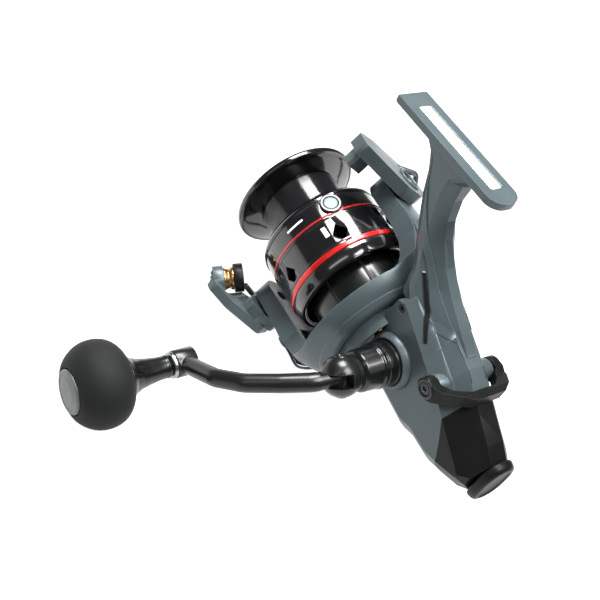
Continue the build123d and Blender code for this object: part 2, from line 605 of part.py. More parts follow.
CRANK_PLANE = Plane(origin=on_crank(0, 0), x_dir=(1, 0, 0), z_dir=FOLD_DIR)
HUB_X, HUB_R, TONGUE = -40.6, 8.6, 5.8
with BuildPart() as fold_slot:
    # the space that the arm's tongue swings in
    with BuildSketch(CRANK_PLANE.offset(-TONGUE / 2 - RUN)):
        with Locations((HUB_X, 0)):
            Circle(4.9)
        with Locations((HUB_X - 10, 0)):
            Rectangle(20, 40)
        with Locations((HUB_X, 10)):
            Rectangle(9.8, 20)
    extrude(amount=TONGUE + 2 * RUN)
with BuildPart() as handle_hub:
    with BuildSketch(HANDLE_PROFILE):
        with BuildLine():
            Polyline((-36.0, 2.45), (-34.4, 2.45), (-34.4, 7.4), (-36.2, 7.4), (-37.0, 7.9))
            RadiusArc((-37.0, 7.9), (HUB_X - HUB_R, 0), -HUB_R)
            Polyline((HUB_X - HUB_R, 0), (-36.0, 0), (-36.0, 2.45))
        make_face()
    revolve(axis=HANDLE_AXIS)
    add(fold_slot.part, mode=Mode.SUBTRACT)
    add(rod(on_crank(HUB_X, 0, -12), on_crank(HUB_X, 0, 12), 1.8), mode=Mode.SUBTRACT)
handle_hub.part.label = "handle_hub"
export_step(handle_hub.part, "parts/handle_hub.step")

with BuildPart() as fold_pin:
    add(rod(on_crank(HUB_X, 0, -8.2), on_crank(HUB_X, 0, 8.2), 1.8))
fold_pin.part.label = "fold_pin"
export_step(fold_pin.part, "parts/fold_pin.step")

ARM_PATH = [(HUB_X - 3, 0), (-53.0, 1.5), (-63.5, 9.5), (-74.0, 19.5), (-79.3, 32.0), (-80.0, 53.0)]
ARM_R = 3.9
EYE_X = (-84.5, -75.5)
with BuildPart() as handle_arm:
    with BuildLine(CRANK_PLANE):
        FilletPolyline(*ARM_PATH, radius=9)
    with BuildSketch(Plane(origin=on_crank(*ARM_PATH[0]), z_dir=(-1, 0, 0))):
        Circle(ARM_R)
    sweep()
    add(rod(on_crank(EYE_X[0], KNOB_REACH), on_crank(EYE_X[1], KNOB_REACH), 6.0))
    # thin the tube down to the tongue in the hub's slot
    with BuildSketch(CRANK_PLANE.offset(TONGUE / 2)):
        with Locations((HUB_X, 0)):
            Circle(11.0)
    extrude(amount=4, mode=Mode.SUBTRACT)
    with BuildSketch(CRANK_PLANE.offset(-TONGUE / 2 - 4)):
        with Locations((HUB_X, 0)):
            Circle(11.0)
    extrude(amount=4, mode=Mode.SUBTRACT)
    with BuildSketch(CRANK_PLANE.offset(-TONGUE / 2)):
        with Locations((HUB_X, 0)):
            Circle(4.6)
    extrude(amount=TONGUE)
    add(rod(on_crank(HUB_X, 0, -12), on_crank(HUB_X, 0, 12), 1.8 + RUN), mode=Mode.SUBTRACT)
    add(rod(on_crank(-90, KNOB_REACH), on_crank(-70, KNOB_REACH), 2.2), mode=Mode.SUBTRACT)
handle_arm.part.label = "handle_arm"
export_step(handle_arm.part, "parts/handle_arm.step")

KNOB_AXIS = Axis(on_crank(0, KNOB_REACH), (1, 0, 0))
KNOB_PROFILE = Plane(origin=on_crank(0, KNOB_REACH), x_dir=(1, 0, 0), z_dir=(0, -1, 0))
POST_END = -128.6
with BuildPart() as knob_post:
    add(turned(KNOB_PROFILE, KNOB_AXIS, [
        (-74.5, 0), (-74.5, 3.4), (-75.5, 3.4), (-75.5, 2.2), (EYE_X[0], 2.2), (EYE_X[0], 4.6), (-86.6, 4.2),
        (-86.6, 2.2), (POST_END + 1, 2.2), (POST_END + 1, 3.2), (POST_END, 3.2), (POST_END, 0)]))
knob_post.part.label = "knob_post"
export_step(knob_post.part, "parts/knob_post.step")

with BuildPart() as knob_sleeve:
    add(turned(KNOB_PROFILE, KNOB_AXIS, [
        (-86.9, 2.2 + RUN), (-86.9, 4.6), (-90, 5.0), (-101, 6.2), (-107, 8.6), (-107, 2.2 + RUN)]))
knob_sleeve.part.label = "knob_sleeve"
export_step(knob_sleeve.part, "parts/knob_sleeve.step")

BALL_R, BALL_HALF = 18.4, 13.0
with BuildPart() as knob_grip:
    with BuildSketch(KNOB_PROFILE):
        with BuildLine():
            EllipticalCenterArc((KNOB_X, 0), BALL_HALF, BALL_R, start_angle=0, arc_size=180)
            Line((KNOB_X - BALL_HALF, 0), (KNOB_X + BALL_HALF, 0))
        make_face()
    revolve(axis=KNOB_AXIS)
    add(rod(on_crank(-140, KNOB_REACH), on_crank(POST_END - 2, KNOB_REACH), 12), mode=Mode.SUBTRACT)
    add(rod(on_crank(-107.0, KNOB_REACH), on_crank(-100, KNOB_REACH), 12), mode=Mode.SUBTRACT)
    add(rod(on_crank(-140, KNOB_REACH), on_crank(POST_END - 0.4, KNOB_REACH), 9.4), mode=Mode.SUBTRACT)
    add(rod(on_crank(-140, KNOB_REACH), on_crank(POST_END + 1.2, KNOB_REACH), 3.5), mode=Mode.SUBTRACT)
    add(rod(on_crank(-140, KNOB_REACH), on_crank(-100, KNOB_REACH), 2.2 + RUN), mode=Mode.SUBTRACT)
knob_grip.part.label = "knob_grip"
export_step(knob_grip.part, "parts/knob_grip.step")

with BuildPart() as knob_cap:
    add(turned(KNOB_PROFILE, KNOB_AXIS, [
        (POST_END - 0.4, 0), (POST_END - 0.4, 9.4), (POST_END - 2.6, 9.4), (POST_END - 3.4, 8.2),
        (POST_END - 3.9, 5), (POST_END - 4.0, 0)]))
knob_cap.part.label = "knob_cap"
export_step(knob_cap.part, "parts/knob_cap.step")

# --- rotor ---------------------------------------------------------------------------------------
NUT_FRONT = 51.8
CUP = [(17, 25.6), (17, 30.4), (22, 35.5), (30, 39.8), (44, 41.6), (58, 41.0), (76, 41.0), (76, 33.2),
       (34, 32.6), (27.5, 30.5), (25, 26), (25, 20.0), (21.5, 20.0), (21.5, 25.6)]
ARM_OUTLINE = [(-44, 16), (-44, 25.2), (-27, 26), (-17.5, 31), (-12, 41), (-9.2, 52), (-9.2, BAIL_Y),
               (9.2, BAIL_Y), (9.2, 52), (12, 41), (17.5, 31), (27, 26), (44, 25.2), (44, 16)]
SPRING_P = (35.4, 40.4)
with BuildPart() as rotor:
    add(turned(SHAFT_PROFILE, SHAFT_AXIS, CUP))
    with BuildSketch(rotor_face(60)):
        with BuildLine():
            Polyline(*ARM_OUTLINE, close=True)
        make_face()
        with Locations((0, BAIL_Y)):
            Circle(9.2)
    extrude(amount=120, mode=Mode.INTERSECT)
    add(turned(SHAFT_PROFILE, SHAFT_AXIS, [
        (21.5, 19.9), (21.5, 22), (46, 22), (48, 20), (48, JOURNAL_R), (45, JOURNAL_R), (45, 19.9)]))
    # ports through the arms
    with BuildSketch(rotor_face(60)):
        with BuildLine():
            Polyline((-5.5, 31.5), (5.5, 31.5), (3.2, 45), (-3.2, 45), close=True)
        make_face()
    extrude(amount=120, mode=Mode.SUBTRACT)
    add(shaft_ring(20, 45, 19.9), mode=Mode.SUBTRACT)
    add(turned(SHAFT_PROFILE, SHAFT_AXIS, [(26, 20), (26, 22), (46, 22), (48, 20), (48, JOURNAL_R),
                                           (45, JOURNAL_R), (45, 19.9), (26, 19.9)]))
    for sign in (-1, 1):
        add(rod(on_rotor(sign * 30, 0, BAIL_Y), on_rotor(sign * 44, 0, BAIL_Y), 2.5), mode=Mode.SUBTRACT)
    add(rod(on_rotor(SPRING_P[0], 0, BAIL_Y), on_rotor(44, 0, BAIL_Y), 6.6), mode=Mode.SUBTRACT)
rotor.part.label = "rotor"
export_step(rotor.part, "parts/rotor.step")

with BuildPart() as rotor_nut:
    with BuildSketch(across(48.0)):
        RegularPolygon(7.4, 6)
        Circle(JOURNAL_R, mode=Mode.SUBTRACT)
    extrude(amount=48.0 - NUT_FRONT)
rotor_nut.part.label = "rotor_nut"
export_step(rotor_nut.part, "parts/rotor_nut.step")

with BuildPart() as clutch_sleeve:
    add(shaft_ring(29.1, 45.0, 7.55, JOURNAL_R))
clutch_sleeve.part.label = "clutch_sleeve"
export_step(clutch_sleeve.part, "parts/clutch_sleeve.step")

with BuildPart() as rotor_arm_covers:
    add(shaft_ring(31, 45.5, 43.0, 41.7))
    with BuildSketch(rotor_face(60)):
        with BuildLine():
            Polyline((-9, 31), (9, 31), (6.6, 45.5), (-6.6, 45.5), close=True)
        make_face()
    extrude(amount=120, mode=Mode.INTERSECT)
rotor_arm_covers.part.label = "rotor_arm_covers"
export_step(rotor_arm_covers.part, "parts/rotor_arm_covers.step")

with BuildPart() as bail_spring:
    # the turns of a torsion spring, lying side by side
    for turn in range(3):
        start = SPRING_P[0] + 0.2 + 1.6 * turn
        with BuildSketch(Plane(origin=on_rotor(start, 0, BAIL_Y), z_dir=ARM_DIR)):
            Circle(6.2)
            Circle(4.7, mode=Mode.SUBTRACT)
        extrude(amount=1.4)
bail_spring.part.label = "bail_spring"
export_step(bail_spring.part, "parts/bail_spring.step")

LEVER_P = (41.5, 47.5)
with BuildPart() as bail_pivot_screws:
    for sign in (-1, 1):
        add(rod(on_rotor(sign * 34, 0, BAIL_Y), on_rotor(sign * 46.9, 0, BAIL_Y), 2.5))
        add(rod(on_rotor(sign * 45.3, 0, BAIL_Y), on_rotor(sign * 46.9, 0, BAIL_Y), 4.2))
        with BuildSketch(Plane(origin=on_rotor(sign * 46.2, 0, BAIL_Y), z_dir=ARM_DIR * sign)):
            RegularPolygon(2.0, 6)
        extrude(amount=1.5, mode=Mode.SUBTRACT)
bail_pivot_screws.part.label = "bail_pivot_screws"
export_step(bail_pivot_screws.part, "parts/bail_pivot_screws.step")

# --- bail ----------------------------------------------------------------------------------------
ROLLER_MID = (-44.5, 15.3, 82.9)
ROLLER_DIR = ARM_DIR * -0.715 + ROLL_DIR * 0.613 + Vector(0, 0.338, 0)


def on_roller(s):
    """A point on the line roller's axis, s out from the roller's middle."""
    return on_rotor(*ROLLER_MID) + ROLLER_DIR * s


with BuildPart() as bail_arm_roller:
    add(knuckle(-LEVER_P[1], -LEVER_P[0], [
        (-9.5, 60), (0, 56), (9.5, 60), (13.5, 68), (6, 73.6), (-7, 73)], 3.0))
    add(knuckle(-51.5, -46.7, [
        (-6.5, 60), (5, 57), (20, 70), (25, 80), (22.5, 89), (15, 89), (9, 80), (-6, 73)], 3.0))
    add(rod(on_roller(2.6), on_roller(7.4), 6.4))
    add(rod(on_roller(-12), on_roller(2.6), 9.0), mode=Mode.SUBTRACT)
    add(rod(on_roller(-12), on_roller(9), 1.5), mode=Mode.SUBTRACT)
    add(rod(on_roller(5.9), on_roller(12), 4.0), mode=Mode.SUBTRACT)
    add(rod(on_rotor(-40, 0, BAIL_Y), on_rotor(-55, 0, BAIL_Y), 2.5 + RUN), mode=Mode.SUBTRACT)
    add(rod(on_rotor(-45.2, 0, BAIL_Y), on_rotor(-55, 0, BAIL_Y), 4.4), mode=Mode.SUBTRACT)
bail_arm_roller.part.label = "bail_arm_roller"
export_step(bail_arm_roller.part, "parts/bail_arm_roller.step")

with BuildPart() as bail_arm_plain:
    add(knuckle(*LEVER_P, [
        (-9.5, 60), (0, 56), (9, 58), (19, 68), (27, 78), (24, 87), (13, 86), (-2, 77), (-9.5, 71)], 3.0))
    add(knuckle(35.0, LEVER_P[0] + 1, [(17.5, 74), (25.5, 77.5), (22.5, 84.5), (15.5, 82)], 2.0))
    add(rod(on_rotor(40, 0, BAIL_Y), on_rotor(55, 0, BAIL_Y), 2.5 + RUN), mode=Mode.SUBTRACT)
    add(rod(on_rotor(45.2, 0, BAIL_Y), on_rotor(55, 0, BAIL_Y), 4.4), mode=Mode.SUBTRACT)
bail_arm_plain.part.label = "bail_arm_plain"
export_step(bail_arm_plain.part, "parts/bail_arm_plain.step")

WIRE_R = 1.3
WIRE_PATH = [(-42.2, 8.5, 78.2), (-44.8, 0.5, 76.6), (-44.3, -9, 77.8), (-38, -24, 80), (-34.5, -33.5, 82),
             (-21, -43.5, 84), (0, -48, 85), (21, -43.5, 83), (35, -33, 79.5), (39.5, -24, 74),
             (44.4, -14, 68.5), (49.6, -11, 71.5), (46.2, 0.5, 75.2)]
WIRE_BENDS = [3.5, 3.5, 14, 12, 16, 24, 16, 12, 14, 4, 3]
wire_points = [on_rotor(*point) for point in WIRE_PATH]
with BuildPart() as bail_wire:
    with BuildLine():
        FilletPolyline(*wire_points, radius=WIRE_BENDS)
    with BuildSketch(Plane(origin=wire_points[0], z_dir=wire_points[1] - wire_points[0])):
        Circle(WIRE_R)
    sweep()
bail_wire.part.label = "bail_wire"
export_step(bail_wire.part, "parts/bail_wire.step")

with BuildPart() as wire_collar:
    add(rod(on_roller(-6.4), on_roller(-2.2), 6.7))
    add(rod(on_roller(-7), on_roller(-2), 1.5), mode=Mode.SUBTRACT)
    add(bail_wire.part, mode=Mode.SUBTRACT)
wire_collar.part.label = "wire_collar"
export_step(wire_collar.part, "parts/wire_collar.step")

with BuildPart() as roller_screw:
    add(rod(on_roller(-6.4), on_roller(6.0), 1.5))
    add(rod(on_roller(5.9), on_roller(7.0), 3.6))
    with BuildSketch(Plane(origin=on_roller(6.3), z_dir=ROLLER_DIR)):
        RegularPolygon(1.8, 6)
    extrude(amount=2, mode=Mode.SUBTRACT)
roller_screw.part.label = "roller_screw"
export_step(roller_screw.part, "parts/roller_screw.step")

ROLLER_AXIS = Axis(on_roller(0), ROLLER_DIR)
ROLLER_PROFILE = Plane(origin=on_roller(0), x_dir=ROLLER_DIR, z_dir=ROLLER_DIR.cross(Vector(0, 0, 1)))
with BuildPart() as roller_bush:
    add(turned(ROLLER_PROFILE, ROLLER_AXIS, [(-2.0, 1.5 + RUN), (-2.0, 2.5), (2.4, 2.5), (2.4, 1.5 + RUN)]))
roller_bush.part.label = "roller_bush"
export_step(roller_bush.part, "parts/roller_bush.step")

with BuildPart() as line_roller:
    add(turned(ROLLER_PROFILE, ROLLER_AXIS, [
        (-1.9, 2.5), (-1.9, 5.4), (-1.0, 5.2), (0.2, 4.5), (1.4, 5.0), (2.3, 5.4), (2.3, 2.5)]))
line_roller.part.label = "line_roller"
export_step(line_roller.part, "parts/line_roller.step")

# --- main shaft and spool ------------------------------------------------------------------------
SHAFT_FRONT = 107.0
BLOCK_Y = OSC_Y + STROKE / 2
with BuildPart() as main_shaft:
    add(shaft_ring(-34.5, SHAFT_FRONT, SHAFT_R))
main_shaft.part.label = "main_shaft"
export_step(main_shaft.part, "parts/main_shaft.step")

with BuildPart() as crosswind_block:
    with BuildSketch(across(BLOCK_Y - 3)):
        with Locations((-0.2, 2.0)):
            Rectangle(5.6, 23.0)
        Circle(SHAFT_R, mode=Mode.SUBTRACT)
        with Locations((0, -7)):
            Circle(1.15 + RUN, mode=Mode.SUBTRACT)
    extrude(amount=-6)
    # the slot that the crank pin runs along
    with BuildSketch(side(-4)):
        with Locations((BLOCK_Y, OSC_Z)):
            SlotOverall(STROKE + 3.4, 2.6, rotation=90)
    extrude(amount=1.9, mode=Mode.SUBTRACT)
crosswind_block.part.label = "crosswind_block"
export_step(crosswind_block.part, "parts/crosswind_block.step")

with BuildPart() as spool_support:
    add(shaft_ring(69.4, 70.8, 5.6, SHAFT_R))
spool_support.part.label = "spool_support"
export_step(spool_support.part, "parts/spool_support.step")

SPOOL = [(42.7, 25.6), (42.7, 28.0), (44.5, 28.4), (47, SPOOL_SKIRT_R), (76, SPOOL_SKIRT_R),
         (78.5, 27.6), (79.2, SPOOL_ARBOR_R), (97, SPOOL_ARBOR_R), (97, 15.5), (84, 15.5),
         (84, SHAFT_R + RUN), (71, SHAFT_R + RUN), (71, 6), (73.5, 7), (73.5, 27.0),
         (44.5, 27.0), (44.5, 25.6)]
with BuildPart() as spool:
    add(turned(SHAFT_PROFILE, SHAFT_AXIS, SPOOL))
    # the skirt's diamond windows
    for turn in range(0, 360, 60):
        with BuildSketch(Plane(across(56.5, 57 + turn).origin, x_dir=(0, 1, 0),
                               z_dir=across(56.5, 57 + turn).x_dir)):
            with BuildLine():
                Polyline((-4.6, 0), (0, -3.6), (4.6, 0), (0, 3.6), close=True)
            make_face()
        extrude(amount=40, mode=Mode.SUBTRACT)
spool.part.label = "spool"
export_step(spool.part, "parts/spool.step")

with BuildPart() as spool_lip:
    add(turned(SHAFT_PROFILE, SHAFT_AXIS, [
        (97, 15.6), (97, SPOOL_ARBOR_R), (97.6, 22), (99.2, 28.4), (100.4, SPOOL_LIP_R), (101.6, 29.8),
        (102.2, 28.4), (101.6, 24), (100.8, 15.6)]))
spool_lip.part.label = "spool_lip"
export_step(spool_lip.part, "parts/spool_lip.step")

with BuildPart() as skirt_ring:
    add(shaft_ring(48.6, 51.2, SPOOL_SKIRT_R + 0.7, SPOOL_SKIRT_R))
skirt_ring.part.label = "skirt_ring"
export_step(skirt_ring.part, "parts/skirt_ring.step")

CLIP_TURN = 110.0
with BuildPart() as line_clip:
    clip_out = across(0, CLIP_TURN).x_dir
    with BuildSketch(Plane(at(0, 71, 0) + clip_out * 28.9, x_dir=(0, 1, 0), z_dir=clip_out)):
        with BuildLine():
            Polyline((4.2, -3.6), (4.2, 3.6), (-1.5, 3.2), (-4.6, 0), (-1.5, -3.2), close=True)
        make_face()
    extrude(amount=1.3)
    add(shaft_ring(60, 80, SPOOL_SKIRT_R), mode=Mode.SUBTRACT)
line_clip.part.label = "line_clip"
export_step(line_clip.part, "parts/line_clip.step")

with BuildPart() as skirt_stripe:
    add(shaft_ring(66.1, 67.0, SPOOL_SKIRT_R + 0.25, SPOOL_SKIRT_R))
    add(line_clip.part, mode=Mode.SUBTRACT)
skirt_stripe.part.label = "skirt_stripe"
export_step(skirt_stripe.part, "parts/skirt_stripe.step")

with BuildPart() as click_gear:
    with BuildSketch(across(71.4)):
        with BuildLine():
            Polyline(*spur_teeth(30, 0.72, 0.3), close=True)
        make_face()
        Circle(7.1, mode=Mode.SUBTRACT)
    extrude(amount=-2.0)
click_gear.part.label = "click_gear"
export_step(click_gear.part, "parts/click_gear.step")

with BuildPart() as drag_washers:
    for step in range(5):
        y = 84.1 + 1.9 * step
        add(shaft_ring(y, y + 1.5, 15.2 - 0.6 * (step % 2), 2.4))
drag_washers.part.label = "drag_washers"
export_step(drag_washers.part, "parts/drag_washers.step")

with BuildPart() as drag_retainer:
    add(shaft_ring(93.8, 94.8, 15.4, 13.9))
    with BuildSketch(across(93)):
        with Locations((14.5, 0)):
            Rectangle(4, 5)
    extrude(amount=-3, mode=Mode.SUBTRACT)
drag_retainer.part.label = "drag_retainer"
export_step(drag_retainer.part, "parts/drag_retainer.step")

KNOB_FRONT = 110.5
with BuildPart() as drag_knob:
    add(turned(SHAFT_PROFILE, SHAFT_AXIS, [
        (95.4, SHAFT_R + RUN), (95.4, 6.0), (97.5, 7.0), (98.5, 12.5), (103.0, 14.8), (107.6, 14.0),
        (109.8, 12.4), (KNOB_FRONT, 9.5), (KNOB_FRONT, 0), (SHAFT_FRONT + 0.4, 0),
        (SHAFT_FRONT + 0.4, SHAFT_R + RUN)]))
    with BuildSketch(across(103.6)):
        with PolarLocations(16.6, 9):
            Circle(2.9)
    extrude(amount=-9, mode=Mode.SUBTRACT)
drag_knob.part.label = "drag_knob"
export_step(drag_knob.part, "parts/drag_knob.step")
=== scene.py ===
from math import cos, pi, radians, sin

import bmesh
import bpy
from mathutils import Matrix, Vector
from mathutils.bvhtree import BVHTree


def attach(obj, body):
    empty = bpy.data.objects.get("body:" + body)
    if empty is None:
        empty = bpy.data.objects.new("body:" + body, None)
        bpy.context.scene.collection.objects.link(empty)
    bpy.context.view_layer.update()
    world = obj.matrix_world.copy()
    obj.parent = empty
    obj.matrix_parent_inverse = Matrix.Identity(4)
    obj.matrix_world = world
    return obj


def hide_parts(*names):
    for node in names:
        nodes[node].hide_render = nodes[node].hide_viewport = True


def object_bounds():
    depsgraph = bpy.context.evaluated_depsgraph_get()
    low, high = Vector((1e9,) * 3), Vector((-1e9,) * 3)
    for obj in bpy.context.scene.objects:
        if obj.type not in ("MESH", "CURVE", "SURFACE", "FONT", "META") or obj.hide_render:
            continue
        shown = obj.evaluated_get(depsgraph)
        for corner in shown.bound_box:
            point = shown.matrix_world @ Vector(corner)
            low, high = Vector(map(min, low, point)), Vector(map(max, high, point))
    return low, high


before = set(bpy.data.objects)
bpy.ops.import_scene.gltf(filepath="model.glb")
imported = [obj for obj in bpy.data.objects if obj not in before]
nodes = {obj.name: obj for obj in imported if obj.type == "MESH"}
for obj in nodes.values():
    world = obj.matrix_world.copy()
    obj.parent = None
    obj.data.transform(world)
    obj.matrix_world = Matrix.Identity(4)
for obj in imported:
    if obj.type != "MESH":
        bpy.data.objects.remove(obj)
cad_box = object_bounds()

# --- places: millimetres from the main shaft's axis, level with the handle's axis --------------------
MM = 0.001
SEAT_AHEAD, SEAT_TO_SHAFT, HANDLE_OFFSET = 36.6, 92.5, 8.5
ROTOR_TURN, CRANK_TURN = radians(59.0), radians(-39.0)
CRANK_LENGTH = 57.5
FOLD_PIN_X = -40.6
LEVER_PIVOT_Y = 66.0
SKIRT_RADIUS = 29.0
CLIP_Y, CLIP_TURN = 71.0, 110.0
ARM_RADIUS = 42.3


def at(x, y, z):
    return Vector((x, y - SEAT_AHEAD, z - SEAT_TO_SHAFT)) * MM


ARM_DIR = Vector((cos(ROTOR_TURN), 0, sin(ROTOR_TURN)))
ROLL_DIR = Vector((-sin(ROTOR_TURN), 0, cos(ROTOR_TURN)))
AHEAD = Vector((0, 1, 0))
CRANK_DIR = Vector((0, cos(CRANK_TURN), sin(CRANK_TURN)))
FOLD_DIR = Vector((0, -sin(CRANK_TURN), cos(CRANK_TURN)))
OUT = Vector((-1, 0, 0))


def on_rotor(p, q, y):
    """A point given along the rotor's arms, across them and ahead."""
    return at(0, y, 0) + (ARM_DIR * p + ROLL_DIR * q) * MM


def on_crank(x, r):
    """A point given by its x and its distance along the handle's arm."""
    return at(x, 0, HANDLE_OFFSET) + CRANK_DIR * r * MM


def around_shaft(y, radius, turn):
    """A point given by its place along the main shaft, its radius and its turn in degrees."""
    turn = radians(turn)
    return at(0, y, 0) + Vector((cos(turn), 0, sin(turn))) * radius * MM


SHAFT = at(0, 0, 0)
CRANK_AXIS = at(0, 0, HANDLE_OFFSET)
KNOB_AXIS = on_crank(0, CRANK_LENGTH)
FORK_PIVOT = at(0, -22.0, 21.5)


# --- materials ---------------------------------------------------------------------------------------
def srgb(r, g, b):
    def lin(c):
        c /= 255
        return c / 12.92 if c <= 0.04045 else ((c + 0.055) / 1.055) ** 2.4
    return (lin(r), lin(g), lin(b), 1.0)


def finish_material(name, base, metallic=0.0, rough=0.45, grain=900.0, grain_depth=0.00002, rough_span=0.12,
                    mottle=0.06, coat=0.0, coat_rough=0.12, edge=None, specular=0.5):
    """A painted, moulded or machined surface: fine grain in the bump, cloudy roughness and lighter edges,
    which are partly wear and partly a painted highlight.
    """
    m = bpy.data.materials.new(name)
    m.use_nodes = True
    nt = m.node_tree
    nt.nodes.clear()
    new, link = nt.nodes.new, nt.links.new
    out = new("ShaderNodeOutputMaterial")
    shader = new("ShaderNodeBsdfPrincipled")
    link(shader.outputs[0], out.inputs[0])
    shader.inputs["Metallic"].default_value = metallic
    shader.inputs["Specular IOR Level"].default_value = specular
    shader.inputs["Coat Weight"].default_value = coat
    shader.inputs["Coat Roughness"].default_value = coat_rough
    place = new("ShaderNodeTexCoord")
    fine = new("ShaderNodeTexNoise")
    fine.inputs["Scale"].default_value = grain
    fine.inputs["Detail"].default_value = 3.0
    link(place.outputs["Object"], fine.inputs["Vector"])
    cloud = new("ShaderNodeTexNoise")
    cloud.inputs["Scale"].default_value = 70.0
    cloud.inputs["Detail"].default_value = 4.0
    link(place.outputs["Object"], cloud.inputs["Vector"])
    rough_map = new("ShaderNodeMapRange")
    rough_map.inputs["From Min"].default_value = 0.3
    rough_map.inputs["From Max"].default_value = 0.7
    rough_map.inputs["To Min"].default_value = max(0.03, rough - rough_span / 2)
    rough_map.inputs["To Max"].default_value = rough + rough_span / 2
    link(cloud.outputs["Fac"], rough_map.inputs["Value"])
    link(rough_map.outputs[0], shader.inputs["Roughness"])
    bump = new("ShaderNodeBump")
    bump.inputs["Strength"].default_value = 1.0
    bump.inputs["Distance"].default_value = grain_depth
    link(fine.outputs["Fac"], bump.inputs["Height"])
    link(bump.outputs[0], shader.inputs["Normal"])
    tint = new("ShaderNodeMix")
    tint.data_type = "RGBA"
    tint.inputs[6].default_value = [c * (1 - mottle) for c in base[:3]] + [1]
    tint.inputs[7].default_value = [min(1, c * (1 + mottle)) for c in base[:3]] + [1]
    link(cloud.outputs["Fac"], tint.inputs[0])
    colour = tint.outputs[2]
    # a lighter colour along the edges: partly wear, partly a painted highlight
    if edge is not None:
        colour = worn_and_highlit_edges(new, link, colour, edge, cloud.outputs["Fac"])
    link(colour, shader.inputs["Base Color"])
    return m


def worn_and_highlit_edges(new, link, colour, edge, cloud):
    """Brings in the colour called edge along the edges, broken up by the cloud: partly wear, partly a painted
    highlight where light would catch the edges.
    """
    rounded = new("ShaderNodeBevel")
    rounded.samples = 6
    rounded.inputs["Radius"].default_value = 0.0005
    plain = new("ShaderNodeNewGeometry")
    dot = new("ShaderNodeVectorMath")
    dot.operation = "DOT_PRODUCT"
    link(rounded.outputs[0], dot.inputs[0])
    link(plain.outputs["Normal"], dot.inputs[1])
    near = new("ShaderNodeMapRange")
    near.inputs["From Min"].default_value = 0.995
    near.inputs["From Max"].default_value = 0.90
    near.inputs["To Min"].default_value = 0.0
    near.inputs["To Max"].default_value = 0.6
    link(dot.outputs["Value"], near.inputs["Value"])
    broken = new("ShaderNodeMath")
    broken.operation = "MULTIPLY"
    link(near.outputs[0], broken.inputs[0])
    link(cloud, broken.inputs[1])
    # mixes in the edge colour: painted highlight and wear along the edges
    wear_and_highlight_mix = new("ShaderNodeMix")
    wear_and_highlight_mix.data_type = "RGBA"
    wear_and_highlight_mix.inputs[7].default_value = edge
    link(broken.outputs[0], wear_and_highlight_mix.inputs[0])
    link(colour, wear_and_highlight_mix.inputs[6])
    return wear_and_highlight_mix.outputs[2]


# edge: the lighter colour along each finish's edges, partly wear and partly a painted highlight
FINISHES = {
    "gunmetal_paint": dict(base=srgb(72, 82, 85), metallic=0.35, rough=0.36, grain=2600, grain_depth=0.000012,
                           specular=0.3, edge=srgb(128, 142, 148)),
    "gloss_black_alloy": dict(base=srgb(12, 12, 13), metallic=0.2, rough=0.16, grain=1500, rough_span=0.06,
                              grain_depth=0.000004, coat=0.8, coat_rough=0.06, edge=srgb(70, 70, 74)),
    "red_anodised": dict(base=srgb(196, 24, 26), metallic=0.55, rough=0.26, grain=1800, grain_depth=0.000004,
                         coat=0.5, edge=srgb(240, 90, 80)),
    "black_plastic": dict(base=srgb(12, 13, 12), rough=0.42, specular=0.14, grain=3200, grain_depth=0.00002,
                          edge=srgb(70, 72, 74)),
    "gloss_black_plastic": dict(base=srgb(9, 10, 10), specular=0.3, rough=0.26, grain=1600,
                                grain_depth=0.000006, coat=0.3, edge=srgb(60, 62, 64)),
    "black_paint": dict(base=srgb(15, 16, 16), metallic=0.1, specular=0.25, rough=0.34, grain=2200,
                        grain_depth=0.00001, coat=0.3, coat_rough=0.2, edge=srgb(82, 84, 86)),
    "grip_rubber": dict(base=srgb(22, 24, 23), rough=0.66, grain=2400, grain_depth=0.00005, mottle=0.12,
                        specular=0.15),
    "cap_grey": dict(base=srgb(84, 88, 86), metallic=0.3, rough=0.4, grain=2200, edge=srgb(120, 124, 122)),
    "label_white": dict(base=srgb(232, 232, 226), rough=0.45, grain=1600, mottle=0.03),
    "steel": dict(base=srgb(150, 152, 154), metallic=1.0, rough=0.28, grain=1500, edge=srgb(210, 212, 214)),
    "dark_steel": dict(base=srgb(52, 54, 57), metallic=0.8, rough=0.32, grain=1500, edge=srgb(130, 132, 136)),
    "wire_steel": dict(base=srgb(120, 122, 124), metallic=0.9, rough=0.3, grain=1500),
    "brass": dict(base=srgb(206, 160, 104), metallic=1.0, rough=0.24, grain=1500, edge=srgb(240, 214, 170)),
    "bronze": dict(base=srgb(150, 110, 70), metallic=1.0, rough=0.35, grain=1500),
    "alloy": dict(base=srgb(140, 143, 146), metallic=0.9, rough=0.35, grain=1500),
    "carbon_felt": dict(base=srgb(30, 30, 32), rough=0.8, grain=2600, grain_depth=0.0001),
}
MATERIALS = {name: finish_material(name, **finish) for name, finish in FINISHES.items()}

for node in nodes.values():
    for material_slot in node.material_slots:
        material_slot.material = MATERIALS[material_slot.material.name.split(".")[0]]


# --- pieces ------------------------------------------------------------------------------------------
def crisp(node, width):
    """Rounds the hard edges of a carried-over node, so that they catch the light."""
    weld = node.modifiers.new("weld", "WELD")
    weld.merge_threshold = 0.000004
    rounding = node.modifiers.new("rounding", "BEVEL")
    rounding.limit_method = "ANGLE"
    rounding.angle_limit = radians(28.0)
    rounding.width = width * MM
    rounding.segments = 2
    rounding.use_clamp_overlap = True
    rounding.harden_normals = True
    rounding.miter_outer = "MITER_ARC"


def finished(name, bm, body, slot, angle=32.0):
    """Makes an object from the mesh, gives it its finish and lets it ride on its body."""
    bmesh.ops.remove_doubles(bm, verts=bm.verts, dist=0.0000005)
    bmesh.ops.recalc_face_normals(bm, faces=bm.faces)
    mesh = bpy.data.meshes.new(name)
    bm.to_mesh(mesh)
    bm.free()
    mesh.shade_smooth()
    mesh.set_sharp_from_angle(angle=radians(angle))
    mesh.materials.append(MATERIALS[slot])
    obj = bpy.data.objects.new(name, mesh)
    bpy.context.scene.collection.objects.link(obj)
    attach(obj, body)
    return obj


